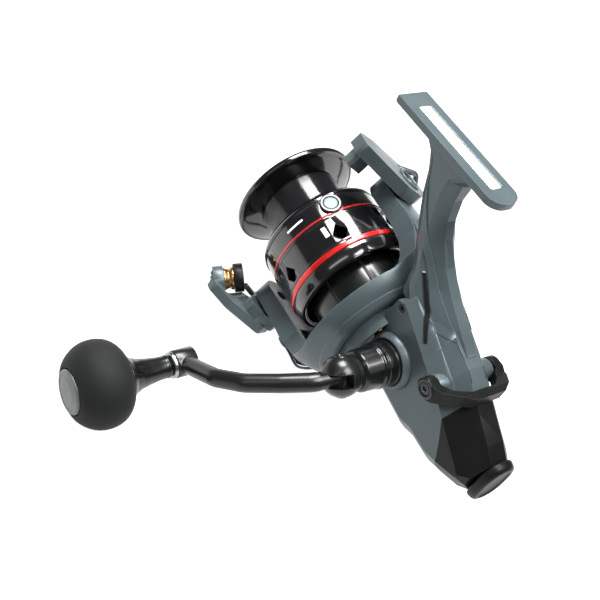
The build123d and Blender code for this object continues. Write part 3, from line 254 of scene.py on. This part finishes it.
def softened(points, cut, closed):
    """The outline with each corner replaced by a small three-point curve."""
    points = [Vector(p) for p in points]
    result = []
    count = len(points)
    for i, corner in enumerate(points):
        if not closed and i in (0, count - 1):
            result.append(corner)
            continue
        before, after = points[i - 1], points[(i + 1) % count]
        back, ahead = before - corner, after - corner
        reach = min(cut, back.length * 0.45, ahead.length * 0.45)
        start, end = corner + back.normalized() * reach, corner + ahead.normalized() * reach
        result += [start, (start + end) / 4 + corner / 2, end]
    return result


def lathe(name, origin, axis, points, body, slot, cut=0.25, closed=True, steps=96):
    """A turned piece: points are distance along the axis and radius, in millimetres."""
    axis = axis.normalized()
    across = axis.orthogonal().normalized()
    other = axis.cross(across)
    outline = softened(points, cut, closed)
    bm = bmesh.new()
    rings = []
    for step in range(steps):
        angle = 2 * pi * step / steps
        out = across * cos(angle) + other * sin(angle)
        rings.append([bm.verts.new(origin + (axis * s + out * r) * MM) for s, r in outline])
    last = len(outline) if closed else len(outline) - 1
    for step in range(steps):
        here, there = rings[step], rings[(step + 1) % steps]
        for i in range(last):
            j = (i + 1) % len(outline)
            if outline[i][1] < 1e-6 and outline[j][1] < 1e-6:
                continue
            bm.faces.new((here[i], here[j], there[j], there[i]))
    bmesh.ops.remove_doubles(bm, verts=bm.verts, dist=0.0000005)
    bmesh.ops.dissolve_degenerate(bm, edges=bm.edges, dist=0.0000002)
    return finished(name, bm, body, slot)


def smooth_path(points, steps):
    """A Catmull-Rom curve through the points, with steps between each pair."""
    points = [Vector(p) for p in points]
    ends = [points[0] * 2 - points[1]] + points + [points[-1] * 2 - points[-2]]
    result = []
    for i in range(1, len(ends) - 2):
        p0, p1, p2, p3 = ends[i - 1:i + 3]
        for step in range(steps):
            t = step / steps
            result.append(0.5 * (2 * p1 + (p2 - p0) * t + (2 * p0 - 5 * p1 + 4 * p2 - p3) * t * t
                                 + (3 * p1 - p0 - 3 * p2 + p3) * t ** 3))
    return result + [points[-1]]


def skinned(name, sections, body, slot, angle=32.0, ring=True):
    """A skin over rows of points with capped ends."""
    bm = bmesh.new()
    rows = [[bm.verts.new(p) for p in section] for section in sections]
    count = len(rows[0])
    for here, there in zip(rows, rows[1:]):
        for i in range(count if ring else count - 1):
            j = (i + 1) % count
            bm.faces.new((here[i], here[j], there[j], there[i]))
    bm.faces.new(rows[0])
    bm.faces.new(rows[-1])
    return finished(name, bm, body, slot, angle)


def tube(name, path, radius, body, slot, sides=8, up=Vector((0, 0, 1))):
    """A round bar along a path: radius is a number or a function of the way along."""
    sections = []
    for i, point in enumerate(path):
        ahead = (path[min(i + 1, len(path) - 1)] - path[max(i - 1, 0)]).normalized()
        wide = ahead.cross(up).normalized()
        high = wide.cross(ahead)
        r = (radius(i / (len(path) - 1)) if callable(radius) else radius) * MM
        sections.append([point + wide * r * cos(2 * pi * k / sides) + high * r * sin(2 * pi * k / sides)
                         for k in range(sides)])
    return skinned(name, sections, body, slot)


CASTINGS = ("body_housing", "side_cover", "rear_cover", "rotor", "bait_lever")
for name, node in nodes.items():
    crisp(node, 0.35 if name in CASTINGS else 0.2)

# handle collar, sleeve and knob
collar = lathe("collar_turned", CRANK_AXIS, OUT, [
    (14.4, 10.1), (14.4, 12.4), (15.4, 12.4), (17.6, 11.1), (17.6, 10.1)], "body", "gunmetal_paint", cut=0.3)
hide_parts("handle_collar")
sleeve = lathe("sleeve_turned", CRANK_AXIS, OUT, [
    (14.8, 2.6), (14.8, 9.7), (17.9, 9.7), (18.1, 9.3), (18.7, 9.3), (18.9, 9.8), (22.6, 9.8), (22.8, 9.4),
    (23.5, 9.4), (23.7, 9.7), (24.6, 9.7), (25.3, 9.2), (33.0, 8.8), (34.3, 7.9), (34.3, 2.6)],
    "handle", "gloss_black_plastic", cut=0.3)
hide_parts("handle_sleeve")
lathe("eye_collar", KNOB_AXIS, OUT, [
    (84.5, 2.3), (84.5, 5.6), (85.2, 5.9), (86.4, 5.6), (86.6, 4.4), (86.6, 2.3)],
    "handle_arm", "steel", cut=0.2)
knob_sleeve = lathe("knob_sleeve_turned", KNOB_AXIS, OUT, [
    (86.9, 2.3), (86.9, 4.7), (88.4, 5.1), (88.8, 4.8), (92.0, 5.0), (97.0, 5.7), (101.0, 6.6), (104.6, 8.2),
    (106.7, 10.2), (107.0, 10.2), (107.0, 2.3)], "knob", "gloss_black_plastic", cut=0.6)
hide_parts("knob_sleeve")
grip = lathe("knob_moulded", KNOB_AXIS, OUT, [
    (107.05, 2.4), (107.05, 10.2), (108.0, 12.8), (109.8, 15.3), (112.6, 17.4), (116.2, 18.4), (120.2, 18.4),
    (123.8, 17.4), (127.0, 15.4), (129.4, 12.9), (130.5, 10.8), (130.5, 9.8), (129.8, 9.6), (129.1, 9.5),
    (129.1, 2.4)], "knob", "grip_rubber", cut=1.6)
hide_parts("knob_grip")
knob_cap = lathe("knob_cap_turned", KNOB_AXIS, OUT, [
    (129.2, 0), (129.2, 9.35), (130.8, 9.35), (131.5, 8.9), (131.7, 8.0), (131.4, 7.6), (131.5, 7.2),
    (131.9, 5.0), (132.1, 0)], "knob", "cap_grey", cut=0.25, closed=False)
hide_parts("knob_cap")
for side in (-1, 1):
    lathe("fold_pin_head_%d" % (side > 0), on_crank(FOLD_PIN_X, 0), FOLD_DIR * side, [
        (7.4, 0), (7.4, 2.5), (8.5, 2.5), (8.8, 2.2), (8.8, 1.1), (8.3, 0.9), (8.3, 0)],
        "handle", "dark_steel", cut=0.15, closed=False)

# spool: grooved arbor, rolled lip, and the skirt's rings, bars, clip and rear band
GROOVES, GROOVE_PITCH, GROOVES_START = 22, 0.74, 80.2
grooves = []
for turn in range(GROOVES):
    y = GROOVES_START + GROOVE_PITCH * turn
    grooves += [(y, 19.05), (y + 0.12, 19.3), (y + 0.52, 19.3), (y + 0.64, 19.05)]
lathe("arbor_grooves", SHAFT, AHEAD, [(79.6, 18.6)] + grooves + [(96.8, 19.05), (96.8, 18.6)],
      "spool", "gloss_black_alloy", cut=0.05)
lip = lathe("lip_rolled", SHAFT, AHEAD, [
    (97.0, 15.7), (97.0, 19.2), (97.3, 21.2), (98.0, 24.0), (98.8, 27.0), (99.4, 28.6), (99.3, 29.6),
    (99.9, 30.0), (101.2, 30.0), (102.1, 29.4), (102.2, 28.5), (101.7, 27.6), (101.3, 24.0), (100.9, 19.0),
    (100.6, 15.7)], "spool", "gloss_black_alloy", cut=0.5, steps=144)
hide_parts("spool_lip")
lathe("skirt_front_edge", SHAFT, AHEAD, [
    (74.6, 28.8), (74.6, 29.25), (76.2, 29.25), (77.2, 28.7), (78.2, 27.9), (78.2, 27.2), (76.0, 28.2)],
    "spool", "gloss_black_alloy", cut=0.2, steps=144)
red_ring = lathe("skirt_red_ring", SHAFT, AHEAD, [
    (48.6, 28.9), (48.6, 29.4), (49.0, 29.7), (50.8, 29.7), (51.2, 29.4), (51.2, 28.9)],
    "spool", "red_anodised", cut=0.15, steps=144)
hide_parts("skirt_ring")
for name, y0, y1 in (("skirt_step_front", 64.6, 65.7), ("skirt_step_rear", 51.9, 52.8)):
    lathe(name, SHAFT, AHEAD, [(y0, 28.9), (y0, 29.16), (y1, 29.16), (y1, 28.9)],
          "spool", "gloss_black_alloy", cut=0.08, steps=144)


def skirt_plate(name, y_mid, turn_mid, long, wide, steps=8):
    """A plain raised bar on the spool's skirt, following its curve."""
    half_turn = long / 2 / SKIRT_RADIUS * 180 / pi
    sections = []
    for step in range(steps + 1):
        turn = turn_mid - half_turn + 2 * half_turn * step / steps
        sections.append([around_shaft(y_mid + wide * a / 2, SKIRT_RADIUS + b, turn)
                         for a, b in ((-1, -0.15), (-0.96, 0.1), (0.96, 0.1), (1, -0.15))])
    return skinned(name, sections, "spool", "label_white")


skirt_plate("skirt_bar", 71.2, 147.0, 9.0, 0.9)
skirt_plate("skirt_mark", 59.8, 128.0, 2.0, 5.2)
CLIP_SEAT = around_shaft(CLIP_Y, SKIRT_RADIUS - 0.4, CLIP_TURN)
CLIP_OUT = around_shaft(CLIP_Y, SKIRT_RADIUS, CLIP_TURN) - at(0, CLIP_Y, 0)
lathe("clip_surround", CLIP_SEAT, CLIP_OUT, [
    (0, 2.9), (0, 5.0), (1.0, 5.0), (1.3, 4.5), (1.3, 3.5), (0.9, 3.1)],
    "spool", "gloss_black_plastic", cut=0.15)
clip = lathe("clip_disc", CLIP_SEAT, CLIP_OUT, [
    (0, 0), (0, 3.4), (0.9, 3.4), (1.15, 3.0), (1.25, 1.0), (1.25, 0)],
    "spool", "gunmetal_paint", cut=0.15, closed=False)
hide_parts("line_clip")
lathe("skirt_rear_band", SHAFT, AHEAD, [
    (42.6, 26.2), (42.4, 27.2), (43.2, 28.3), (45.2, 28.8), (47.0, 29.15), (48.5, 29.2), (48.5, 28.8),
    (45.0, 28.2)],
    "spool", "gloss_black_alloy", cut=0.3, steps=144)

# rotor: rolled rim, the drum's ribs, then a rib along each arm's sides and a black port in its face
lathe("rotor_rim", SHAFT, AHEAD, [
    (17.2, 25.9), (16.7, 26.6), (16.6, 29.6), (17.2, 30.9), (18.6, 32.3), (19.4, 33.0), (19.0, 31.6),
    (17.9, 30.0), (17.6, 26.4)], "rotor", "gunmetal_paint", cut=0.3, steps=144)
DRUM_RIBS, RIB_FOOT = 8, 21.6
for turn in range(DRUM_RIBS):
    angle = turn * 2 * pi / DRUM_RIBS + pi / DRUM_RIBS
    out = Vector((cos(angle), 0, sin(angle)))
    beside = AHEAD.cross(out)
    rows = []
    for y, high in ((25.5, 24.2), (30.0, 23.4), (38.0, 22.9), (44.5, 22.5)):
        outline = ((RIB_FOOT, -0.8), (high, -0.55), (high, 0.55), (RIB_FOOT, 0.8))
        rows.append([at(0, y, 0) + (out * r + beside * b) * MM for r, b in outline])
    skinned("drum_rib_%d" % turn, rows, "rotor", "black_plastic")

ARM_RIB = [(39.8, 11.6, 39.0), (40.2, 11.2, 41.0), (40.4, 10.8, 43.0), (40.6, 10.4, 45.0)]
PORT_RIM = [(-7.6, 30.8), (0, 30.4), (7.6, 30.8), (6.4, 38.0), (5.0, 45.4), (0, 45.9), (-5.0, 45.4),
            (-6.4, 38.0)]
PORT_Y, PORT_LONG, PORT_HALF, PORT_TAPER = 31.2, 14.1, 7.2, 2.6


def rib_radius(t):
    """An arm rib's radius at the part t of the way along it."""
    return 0.75 - 0.35 * abs(2 * t - 1)


def arm_port(name, sign, steps=10, columns=8):
    """The black panel in an arm's rounded face, narrowing towards the front, with sunk borders."""
    rows = []
    for step in range(steps + 1):
        y = PORT_Y + PORT_LONG * step / steps
        half = PORT_HALF - PORT_TAPER * step / steps
        row = []
        for k in range(columns + 1):
            q = half * (2 * k / columns - 1)
            sunk = 0.7 if k in (0, columns) or step in (0, steps) else 0.0
            row.append(on_rotor(sign * ((ARM_RADIUS + 0.1 - sunk) ** 2 - q * q) ** 0.5, q, y))
        rows.append(row)
    return skinned(name, rows, "rotor", "black_plastic", ring=False)


for sign in (-1, 1):
    for edge_side in (-1, 1):
        path = [on_rotor(sign * p, edge_side * q, y) for p, q, y in ARM_RIB]
        tube("arm_rib_%d_%d" % (sign > 0, edge_side > 0), smooth_path(path, 6), rib_radius,
             "rotor", "gunmetal_paint", sides=10, up=ARM_DIR)
    port = arm_port("arm_port_%d" % (sign > 0), sign)
    if sign > 0:
        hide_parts("rotor_arm_covers")
    rim = [on_rotor(sign * (ARM_RADIUS ** 2 - q * q) ** 0.5, q, y) for q, y in PORT_RIM]
    tube("arm_port_rim_%d" % (sign > 0), smooth_path(rim + rim[:1], 5), 0.62,
         "rotor", "gunmetal_paint", sides=10, up=ARM_DIR)
lathe("drum_skin", SHAFT, AHEAD, [
    (27.0, 21.8), (27.0, 22.25), (45.8, 22.25), (47.3, 20.9), (47.9, 19.9), (47.9, 19.0), (45.0, 21.6)],
    "rotor", "gloss_black_plastic", cut=0.3, steps=144)

# bail levers: collars round the pivot screws, and the screws' heads
LEVER_PIVOT = on_rotor(0, 0, LEVER_PIVOT_Y)
for sign, face in ((-1, 51.4), (1, 47.6)):
    lathe("lever_screw_ring_%d" % (sign > 0), LEVER_PIVOT, ARM_DIR * sign, [
        (face, 4.5), (face, 5.9), (face + 0.4, 5.9), (face + 0.7, 5.5), (face + 0.7, 4.9), (face + 0.3, 4.5)],
        "bail", "gunmetal_paint", cut=0.12)
    lathe("lever_screw_head_%d" % (sign > 0), LEVER_PIVOT, ARM_DIR * sign, [
        (46.0, 0.0), (46.0, 4.1), (47.0, 4.1), (47.4, 3.7), (47.4, 2.2), (46.8, 1.9), (46.8, 0.0)],
        "rotor", "dark_steel", cut=0.12, closed=False)

# stem: a raised flange on each side
# z, then the half outline of each section from the rear spine to the front
STEM = [(34.0, [(2.5, -20.5), (6, -12.0), (9, -3.5), (12, 3.0), (12.8, 8.0), (11.0, 16.0), (4, 17.0)]),
        (40.0, [(2.5, -9.8), (5.6, -2.0), (8.6, 4.5), (11.4, 11.5), (11.4, 15.0), (8.5, 19.0), (3.5, 22.0)]),
        (45.0, [(2.4, -0.5), (5.2, 6.6), (7.6, 10.8), (9.6, 14.5), (9.4, 17.0), (7.2, 20.0), (3.2, 26.0)]),
        (52.0, [(2.3, 10.0), (4.6, 14.0), (6.6, 17.5), (8.0, 20.0), (8.0, 22.2), (6.4, 25.4), (2.6, 30.4)]),
        (60.0, [(2.2, 17.6), (4.4, 19.8), (6.2, 21.8), (7.2, 23.4), (7.2, 27.0), (5.6, 29.8), (2.4, 35.0)]),
        (67.0, [(2.2, 21.4), (4.2, 23.2), (5.9, 24.9), (6.6, 26.4), (6.6, 31.6), (5.2, 34.2), (2.4, 38.4)]),
        (76.0, [(2.2, 23.6), (4.2, 25.2), (5.8, 27.0), (6.4, 28.6), (6.4, 35.6), (5.0, 38.2), (2.4, 41.6)]),
        (84.0, [(3.0, 23.6), (4.6, 25.0), (6.0, 26.8), (6.6, 28.6), (6.6, 39.0), (5.4, 42.0), (3.0, 45.6)]),
        (90.6, [(4.6, 16.5), (5.8, 18.0), (6.7, 20.0), (7.0, 22.5), (7.0, 47.0), (6.2, 50.0), (4.6, 52.5)])]
STEM_FLAT = [(z, *[n for point in outline for n in point]) for z, outline in STEM]
STEM_LOW, STEM_HIGH, STEM_SIDES = STEM[0][0], STEM[-1][0], len(STEM[0][1]) - 1
# z, then where the flange's rear and front edges cross the section, counted in its corners
FLANGE = [(36.0, 0.45, 1.9), (40.0, 0.6, 2.0), (45.0, 0.85, 1.85), (49.5, 1.05, 2.1), (54.0, 1.4, 2.9),
          (58.0, 2.2, 3.7), (60.5, 2.9, 4.1), (63.3, 3.35, 4.4), (67.7, 3.7, 4.7), (76.0, 4.05, 5.0),
          (85.0, 4.3, 5.3)]


def between(table, z):
    """The row of a table at z, with its numbers taken between the two nearest rows."""
    for (z0, *low), (z1, *high) in zip(table, table[1:]):
        if z0 <= z <= z1:
            t = (z - z0) / (z1 - z0)
            return [a + (b - a) * t for a, b in zip(low, high)]
    return list(table[-1][1:])


def on_stem(z, u, sign):
    """A point on the stem's side at height z: u counts the outline's corners from the rear."""
    row = between(STEM_FLAT, z)
    i = min(int(u), STEM_SIDES - 1)
    t = u - i
    x = row[2 * i] + (row[2 * i + 2] - row[2 * i]) * t
    y = row[2 * i + 1] + (row[2 * i + 3] - row[2 * i + 1]) * t
    return at(sign * x, y, z)


def off_stem(z, u, rise, sign):
    """The same point raised off the surface, in millimetres."""
    a, b = on_stem(z, max(u - 0.05, 0), sign), on_stem(z, min(u + 0.05, STEM_SIDES), sign)
    c, d = on_stem(max(z - 0.5, STEM_LOW), u, sign), on_stem(min(z + 0.5, STEM_HIGH), u, sign)
    normal = (b - a).cross(d - c).normalized() * (-sign)
    if normal.x * sign < 0:
        normal = -normal
    return on_stem(z, u, sign) + normal * rise * MM


def stem_patch(name, table, rise, sign, steps=26, columns=8):
    """A raised band on the stem whose two edges are given as z, u and u."""
    rows = []
    z_low, z_high = table[0][0], table[-1][0]
    for step in range(steps + 1):
        z = z_low + (z_high - z_low) * step / steps
        u0, u1 = between(table, z)
        fade = min(1.0, 4 * min(step, steps - step) / steps + 0.05)
        inside = [u0 + (u1 - u0) * (0.06 + 0.88 * k / columns) for k in range(columns + 1)]
        rows.append([off_stem(z, u0, -0.5, sign)] + [off_stem(z, u, rise * fade, sign) for u in inside]
                    + [off_stem(z, u1, -0.5, sign)])
    return skinned(name, rows, "body", "gunmetal_paint", angle=40)


for sign in (-1, 1):
    stem_patch("stem_flange_%d" % (sign > 0), FLANGE, 0.55, sign)

# body: an accent strip and a roof seam on each side, laid on the casting
CAST_BACK = 0.06


def surface_of(*names):
    """A tree of the named nodes' faces, for laying pieces on them."""
    points, faces = [], []
    for name in names:
        start = len(points)
        points += [v.co.copy() for v in nodes[name].data.vertices]
        faces += [[start + i for i in p.vertices] for p in nodes[name].data.polygons]
    return BVHTree.FromPolygons(points, faces)


BODY_SKIN = surface_of("body_housing", "side_cover", "rear_cover")


def laid(place, direction, rise):
    """The first point of the body met along a direction, raised off it; place is from the datum."""
    hit, normal = BODY_SKIN.ray_cast(at(*place) - direction * CAST_BACK, direction)[:2]
    if normal.dot(direction) > 0:
        normal = -normal
    return hit + normal * rise * MM


def seam(name, points, direction, lift, width):
    """A fine black line along the body through points from the datum, cast along a direction."""
    path = []
    for start, end in zip(points, points[1:]):
        steps = max(2, int((Vector(end) - Vector(start)).length / 0.6))
        for k in range(steps):
            path.append(laid(Vector(start).lerp(Vector(end), k / steps), direction, lift))
    return tube(name, path, width, "body", "black_paint")


def inlay(name, left, right, direction, rise, columns=6):
    """A black strip on the body between two edges from the datum, cast along a direction."""
    rows = []
    for i, (a, b) in enumerate(zip(left, right)):
        row = []
        for k in range(columns + 1):
            sunk = -0.35 if k in (0, columns) or i in (0, len(left) - 1) else rise
            row.append(laid(a.lerp(b, k / columns), direction, sunk))
        rows.append(row)
    return skinned(name, rows, "body", "black_paint", ring=False)


def drawn(points, steps):
    """More points along a broken line in the plane x = 0, given as y and z."""
    points = [Vector((0, y, z)) for y, z in points]
    result = [a.lerp(b, k / steps) for a, b in zip(points, points[1:]) for k in range(steps)]
    return result + [points[-1]]


# the strip's front and rear edges, from the stem down to the side cover
STRIP_FRONT = [(15.5, 47.4), (12.5, 44.5), (9.5, 41.9), (5.9, 38.9), (1.6, 35.6), (-2.5, 32.2), (-7.3, 28.3)]
STRIP_REAR = [(14.3, 48.0), (10.6, 45.1), (8.0, 43.2), (1.6, 38.6), (0.0, 36.6), (-4.4, 32.8), (-8.4, 29.2)]
ROOF_SEAM = [(10.6, 2.0), (9.0, -2.8), (9.0, -6.3), (7.6, -8.7), (6.0, -11.6), (4.5, -14.2), (4.0, -21.6),
             (4.0, -30.0)]
for sign in (-1, 1):
    strip = inlay("accent_strip_%d" % (sign > 0), drawn(STRIP_FRONT, 4), drawn(STRIP_REAR, 4),
                  Vector((-sign, 0, 0)), 0.4)
    if sign < 0:
        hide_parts("side_trim")
    seam("roof_seam_%d" % (sign > 0), [(sign * x, y, 0) for x, y in ROOF_SEAM], Vector((0, 0, -1)),
         -0.02, 0.22)

# foot: a fine rim along each side of the recessed label
FOOT_TILT = radians(2.87)
SEAT_UP = Vector((0, sin(FOOT_TILT), cos(FOOT_TILT)))


def on_seat(x, y, rise):
    """A point on the foot's seat face, which tilts down towards the front."""
    return Vector((x, y * cos(FOOT_TILT), -y * sin(FOOT_TILT))) * MM + SEAT_UP * rise * MM


for sign in (-1, 1):
    line = [on_seat(sign * 3.1, y, 0.02) for y in range(-23, 24, 2)]
    tube("label_rim_%d" % (sign > 0), line, 0.22, "body", "gunmetal_paint")

# bait lever: collars round the pivot screws, and the screws' heads
for sign in (-1, 1):
    outward = Vector((sign, 0, 0))
    lathe("fork_boss_ring_%d" % (sign > 0), FORK_PIVOT, outward, [
        (18.8, 2.7), (18.8, 4.3), (19.2, 4.3), (19.5, 3.9), (19.5, 3.2), (19.1, 2.8)],
        "bait_lever", "black_paint", cut=0.12)
    lathe("fork_screw_head_%d" % (sign > 0), FORK_PIVOT, outward, [
        (16.5, 0), (16.5, 2.3), (19.0, 2.3), (19.3, 2.0), (19.3, 1.3), (18.5, 1.1), (18.5, 0)],
        "body", "dark_steel", cut=0.1, closed=False)

# rear knob: a lozenge with a sunk face
REAR_KNOB_Z, KNOB_WIDE, KNOB_TALL = 2.2, 8.8, 12.2


def lozenge(y, wide, tall, square=2.4, count=56):
    """A rounded oblong across the shaft at y, from its half width and half height."""
    points = []
    for k in range(count):
        angle = 2 * pi * k / count
        c, s = cos(angle), sin(angle)
        size = (abs(c) ** square + abs(s) ** square) ** (-1 / square)
        points.append(at(wide * size * c, y, REAR_KNOB_Z + tall * size * s))
    return points


rear_knob = skinned("rear_knob_moulded", [
    lozenge(y, KNOB_WIDE - inset, KNOB_TALL - inset) for y, inset in (
        (-57.9, 0.8), (-58.2, 0.2), (-59.0, 0.0), (-60.8, 0.4), (-61.7, 1.0), (-62.2, 2.0), (-62.2, 2.7),
        (-61.8, 3.1), (-61.6, 3.6))], "bait_drag_knob", "black_plastic", angle=50)
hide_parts("bait_drag_knob")

# drag knob at the front: a turned cap
lathe("drag_cap_turned", SHAFT, AHEAD, [
    (108.0, 0), (108.0, 9.6), (110.0, 9.6), (110.4, 9.1), (110.4, 7.2), (110.0, 6.8), (110.0, 0)],
    "drag_knob", "gloss_black_plastic", cut=0.2, closed=False)

# --- camera ------------------------------------------------------------------------------------------
CAM_RIGHT = Vector((0.8092, -0.4817, 0.3365)).normalized()
CAM_BACK = Vector((-0.5538, -0.4338, 0.7108))
CAM_BACK = (CAM_BACK - CAM_RIGHT * CAM_BACK.dot(CAM_RIGHT)).normalized()
CAM_UP = CAM_BACK.cross(CAM_RIGHT)
CAM_PLACE = Vector((-260.64, -172.48, 202.17)) * MM
camera_data = bpy.data.cameras.new("camera")
camera_data.sensor_width = 36.0
camera_data.lens = 58.13
camera_data.clip_start, camera_data.clip_end = 0.01, 20.0
camera = bpy.data.objects.new("camera", camera_data)
bpy.context.scene.collection.objects.link(camera)
axes = Matrix((CAM_RIGHT, CAM_UP, CAM_BACK)).transposed()
camera.matrix_world = Matrix.Translation(CAM_PLACE) @ axes.to_4x4()
bpy.context.scene.camera = camera
bpy.context.scene.view_settings.view_transform = "Standard"

# --- light and floor ---------------------------------------------------------------------------------
TARGET = at(-20, 20, 20)


def area_light(name, place, size, power, size_y=None):
    """A soft lamp at a place, turned towards the reel."""
    data = bpy.data.lights.new(name, "AREA")
    data.shape = "RECTANGLE"
    data.size = size
    data.size_y = size_y or size
    data.energy = power
    lamp = bpy.data.objects.new(name, data)
    bpy.context.scene.collection.objects.link(lamp)
    lamp.location = place
    lamp.rotation_mode = "QUATERNION"
    lamp.rotation_quaternion = (TARGET - place).to_track_quat("-Z", "Y")


def seen_from(right, up, back, distance):
    """A place round the reel, given in the camera's directions."""
    return TARGET + (CAM_RIGHT * right + CAM_UP * up + CAM_BACK * back).normalized() * distance


area_light("key", TARGET + Vector((0.05, 0.50, 0.86)).normalized() * 0.75, 0.36, 15.0)
area_light("top", TARGET + Vector((0.10, -0.25, 1.0)) * 0.8, 0.45, 13.0)
area_light("fill", seen_from(0.9, 0.1, 0.6, 0.9), 0.5, 0.8)
area_light("strip", seen_from(-0.35, 0.35, 1.0, 0.9), 0.10, 0.9, size_y=0.6)
area_light("low", seen_from(-0.8, -0.6, 0.4, 0.9), 0.4, 0.35)

world = bpy.data.worlds.new("studio")
bpy.context.scene.world = world
world.use_nodes = True
world.node_tree.nodes["Background"].inputs["Color"].default_value = (0.9, 0.93, 0.96, 1)
world.node_tree.nodes["Background"].inputs["Strength"].default_value = 0.17

SPAN = 4.0
floor_mesh = bpy.data.meshes.new("floor")
floor_corners = [(-SPAN, -SPAN, 0), (SPAN, -SPAN, 0), (SPAN, SPAN, 0), (-SPAN, SPAN, 0)]
floor_mesh.from_pydata(floor_corners, [], [(0, 1, 2, 3)])
floor = bpy.data.objects.new("floor", floor_mesh)
bpy.context.scene.collection.objects.link(floor)
floor.location = (0, 0, cad_box[0].z - 0.0005)
floor_material = bpy.data.materials.new("floor_paper")
floor_material.use_nodes = True
floor_nodes = floor_material.node_tree
floor_nodes.nodes.clear()
floor_out = floor_nodes.nodes.new("ShaderNodeOutputMaterial")
floor_mix = floor_nodes.nodes.new("ShaderNodeAddShader")
floor_diffuse = floor_nodes.nodes.new("ShaderNodeBsdfDiffuse")
floor_diffuse.inputs["Color"].default_value = (0.22, 0.22, 0.22, 1)
floor_glow = floor_nodes.nodes.new("ShaderNodeEmission")
floor_glow.inputs["Strength"].default_value = 0.97
floor_nodes.links.new(floor_diffuse.outputs[0], floor_mix.inputs[0])
floor_nodes.links.new(floor_glow.outputs[0], floor_mix.inputs[1])
floor_nodes.links.new(floor_mix.outputs[0], floor_out.inputs[0])
floor_mesh.materials.append(floor_material)
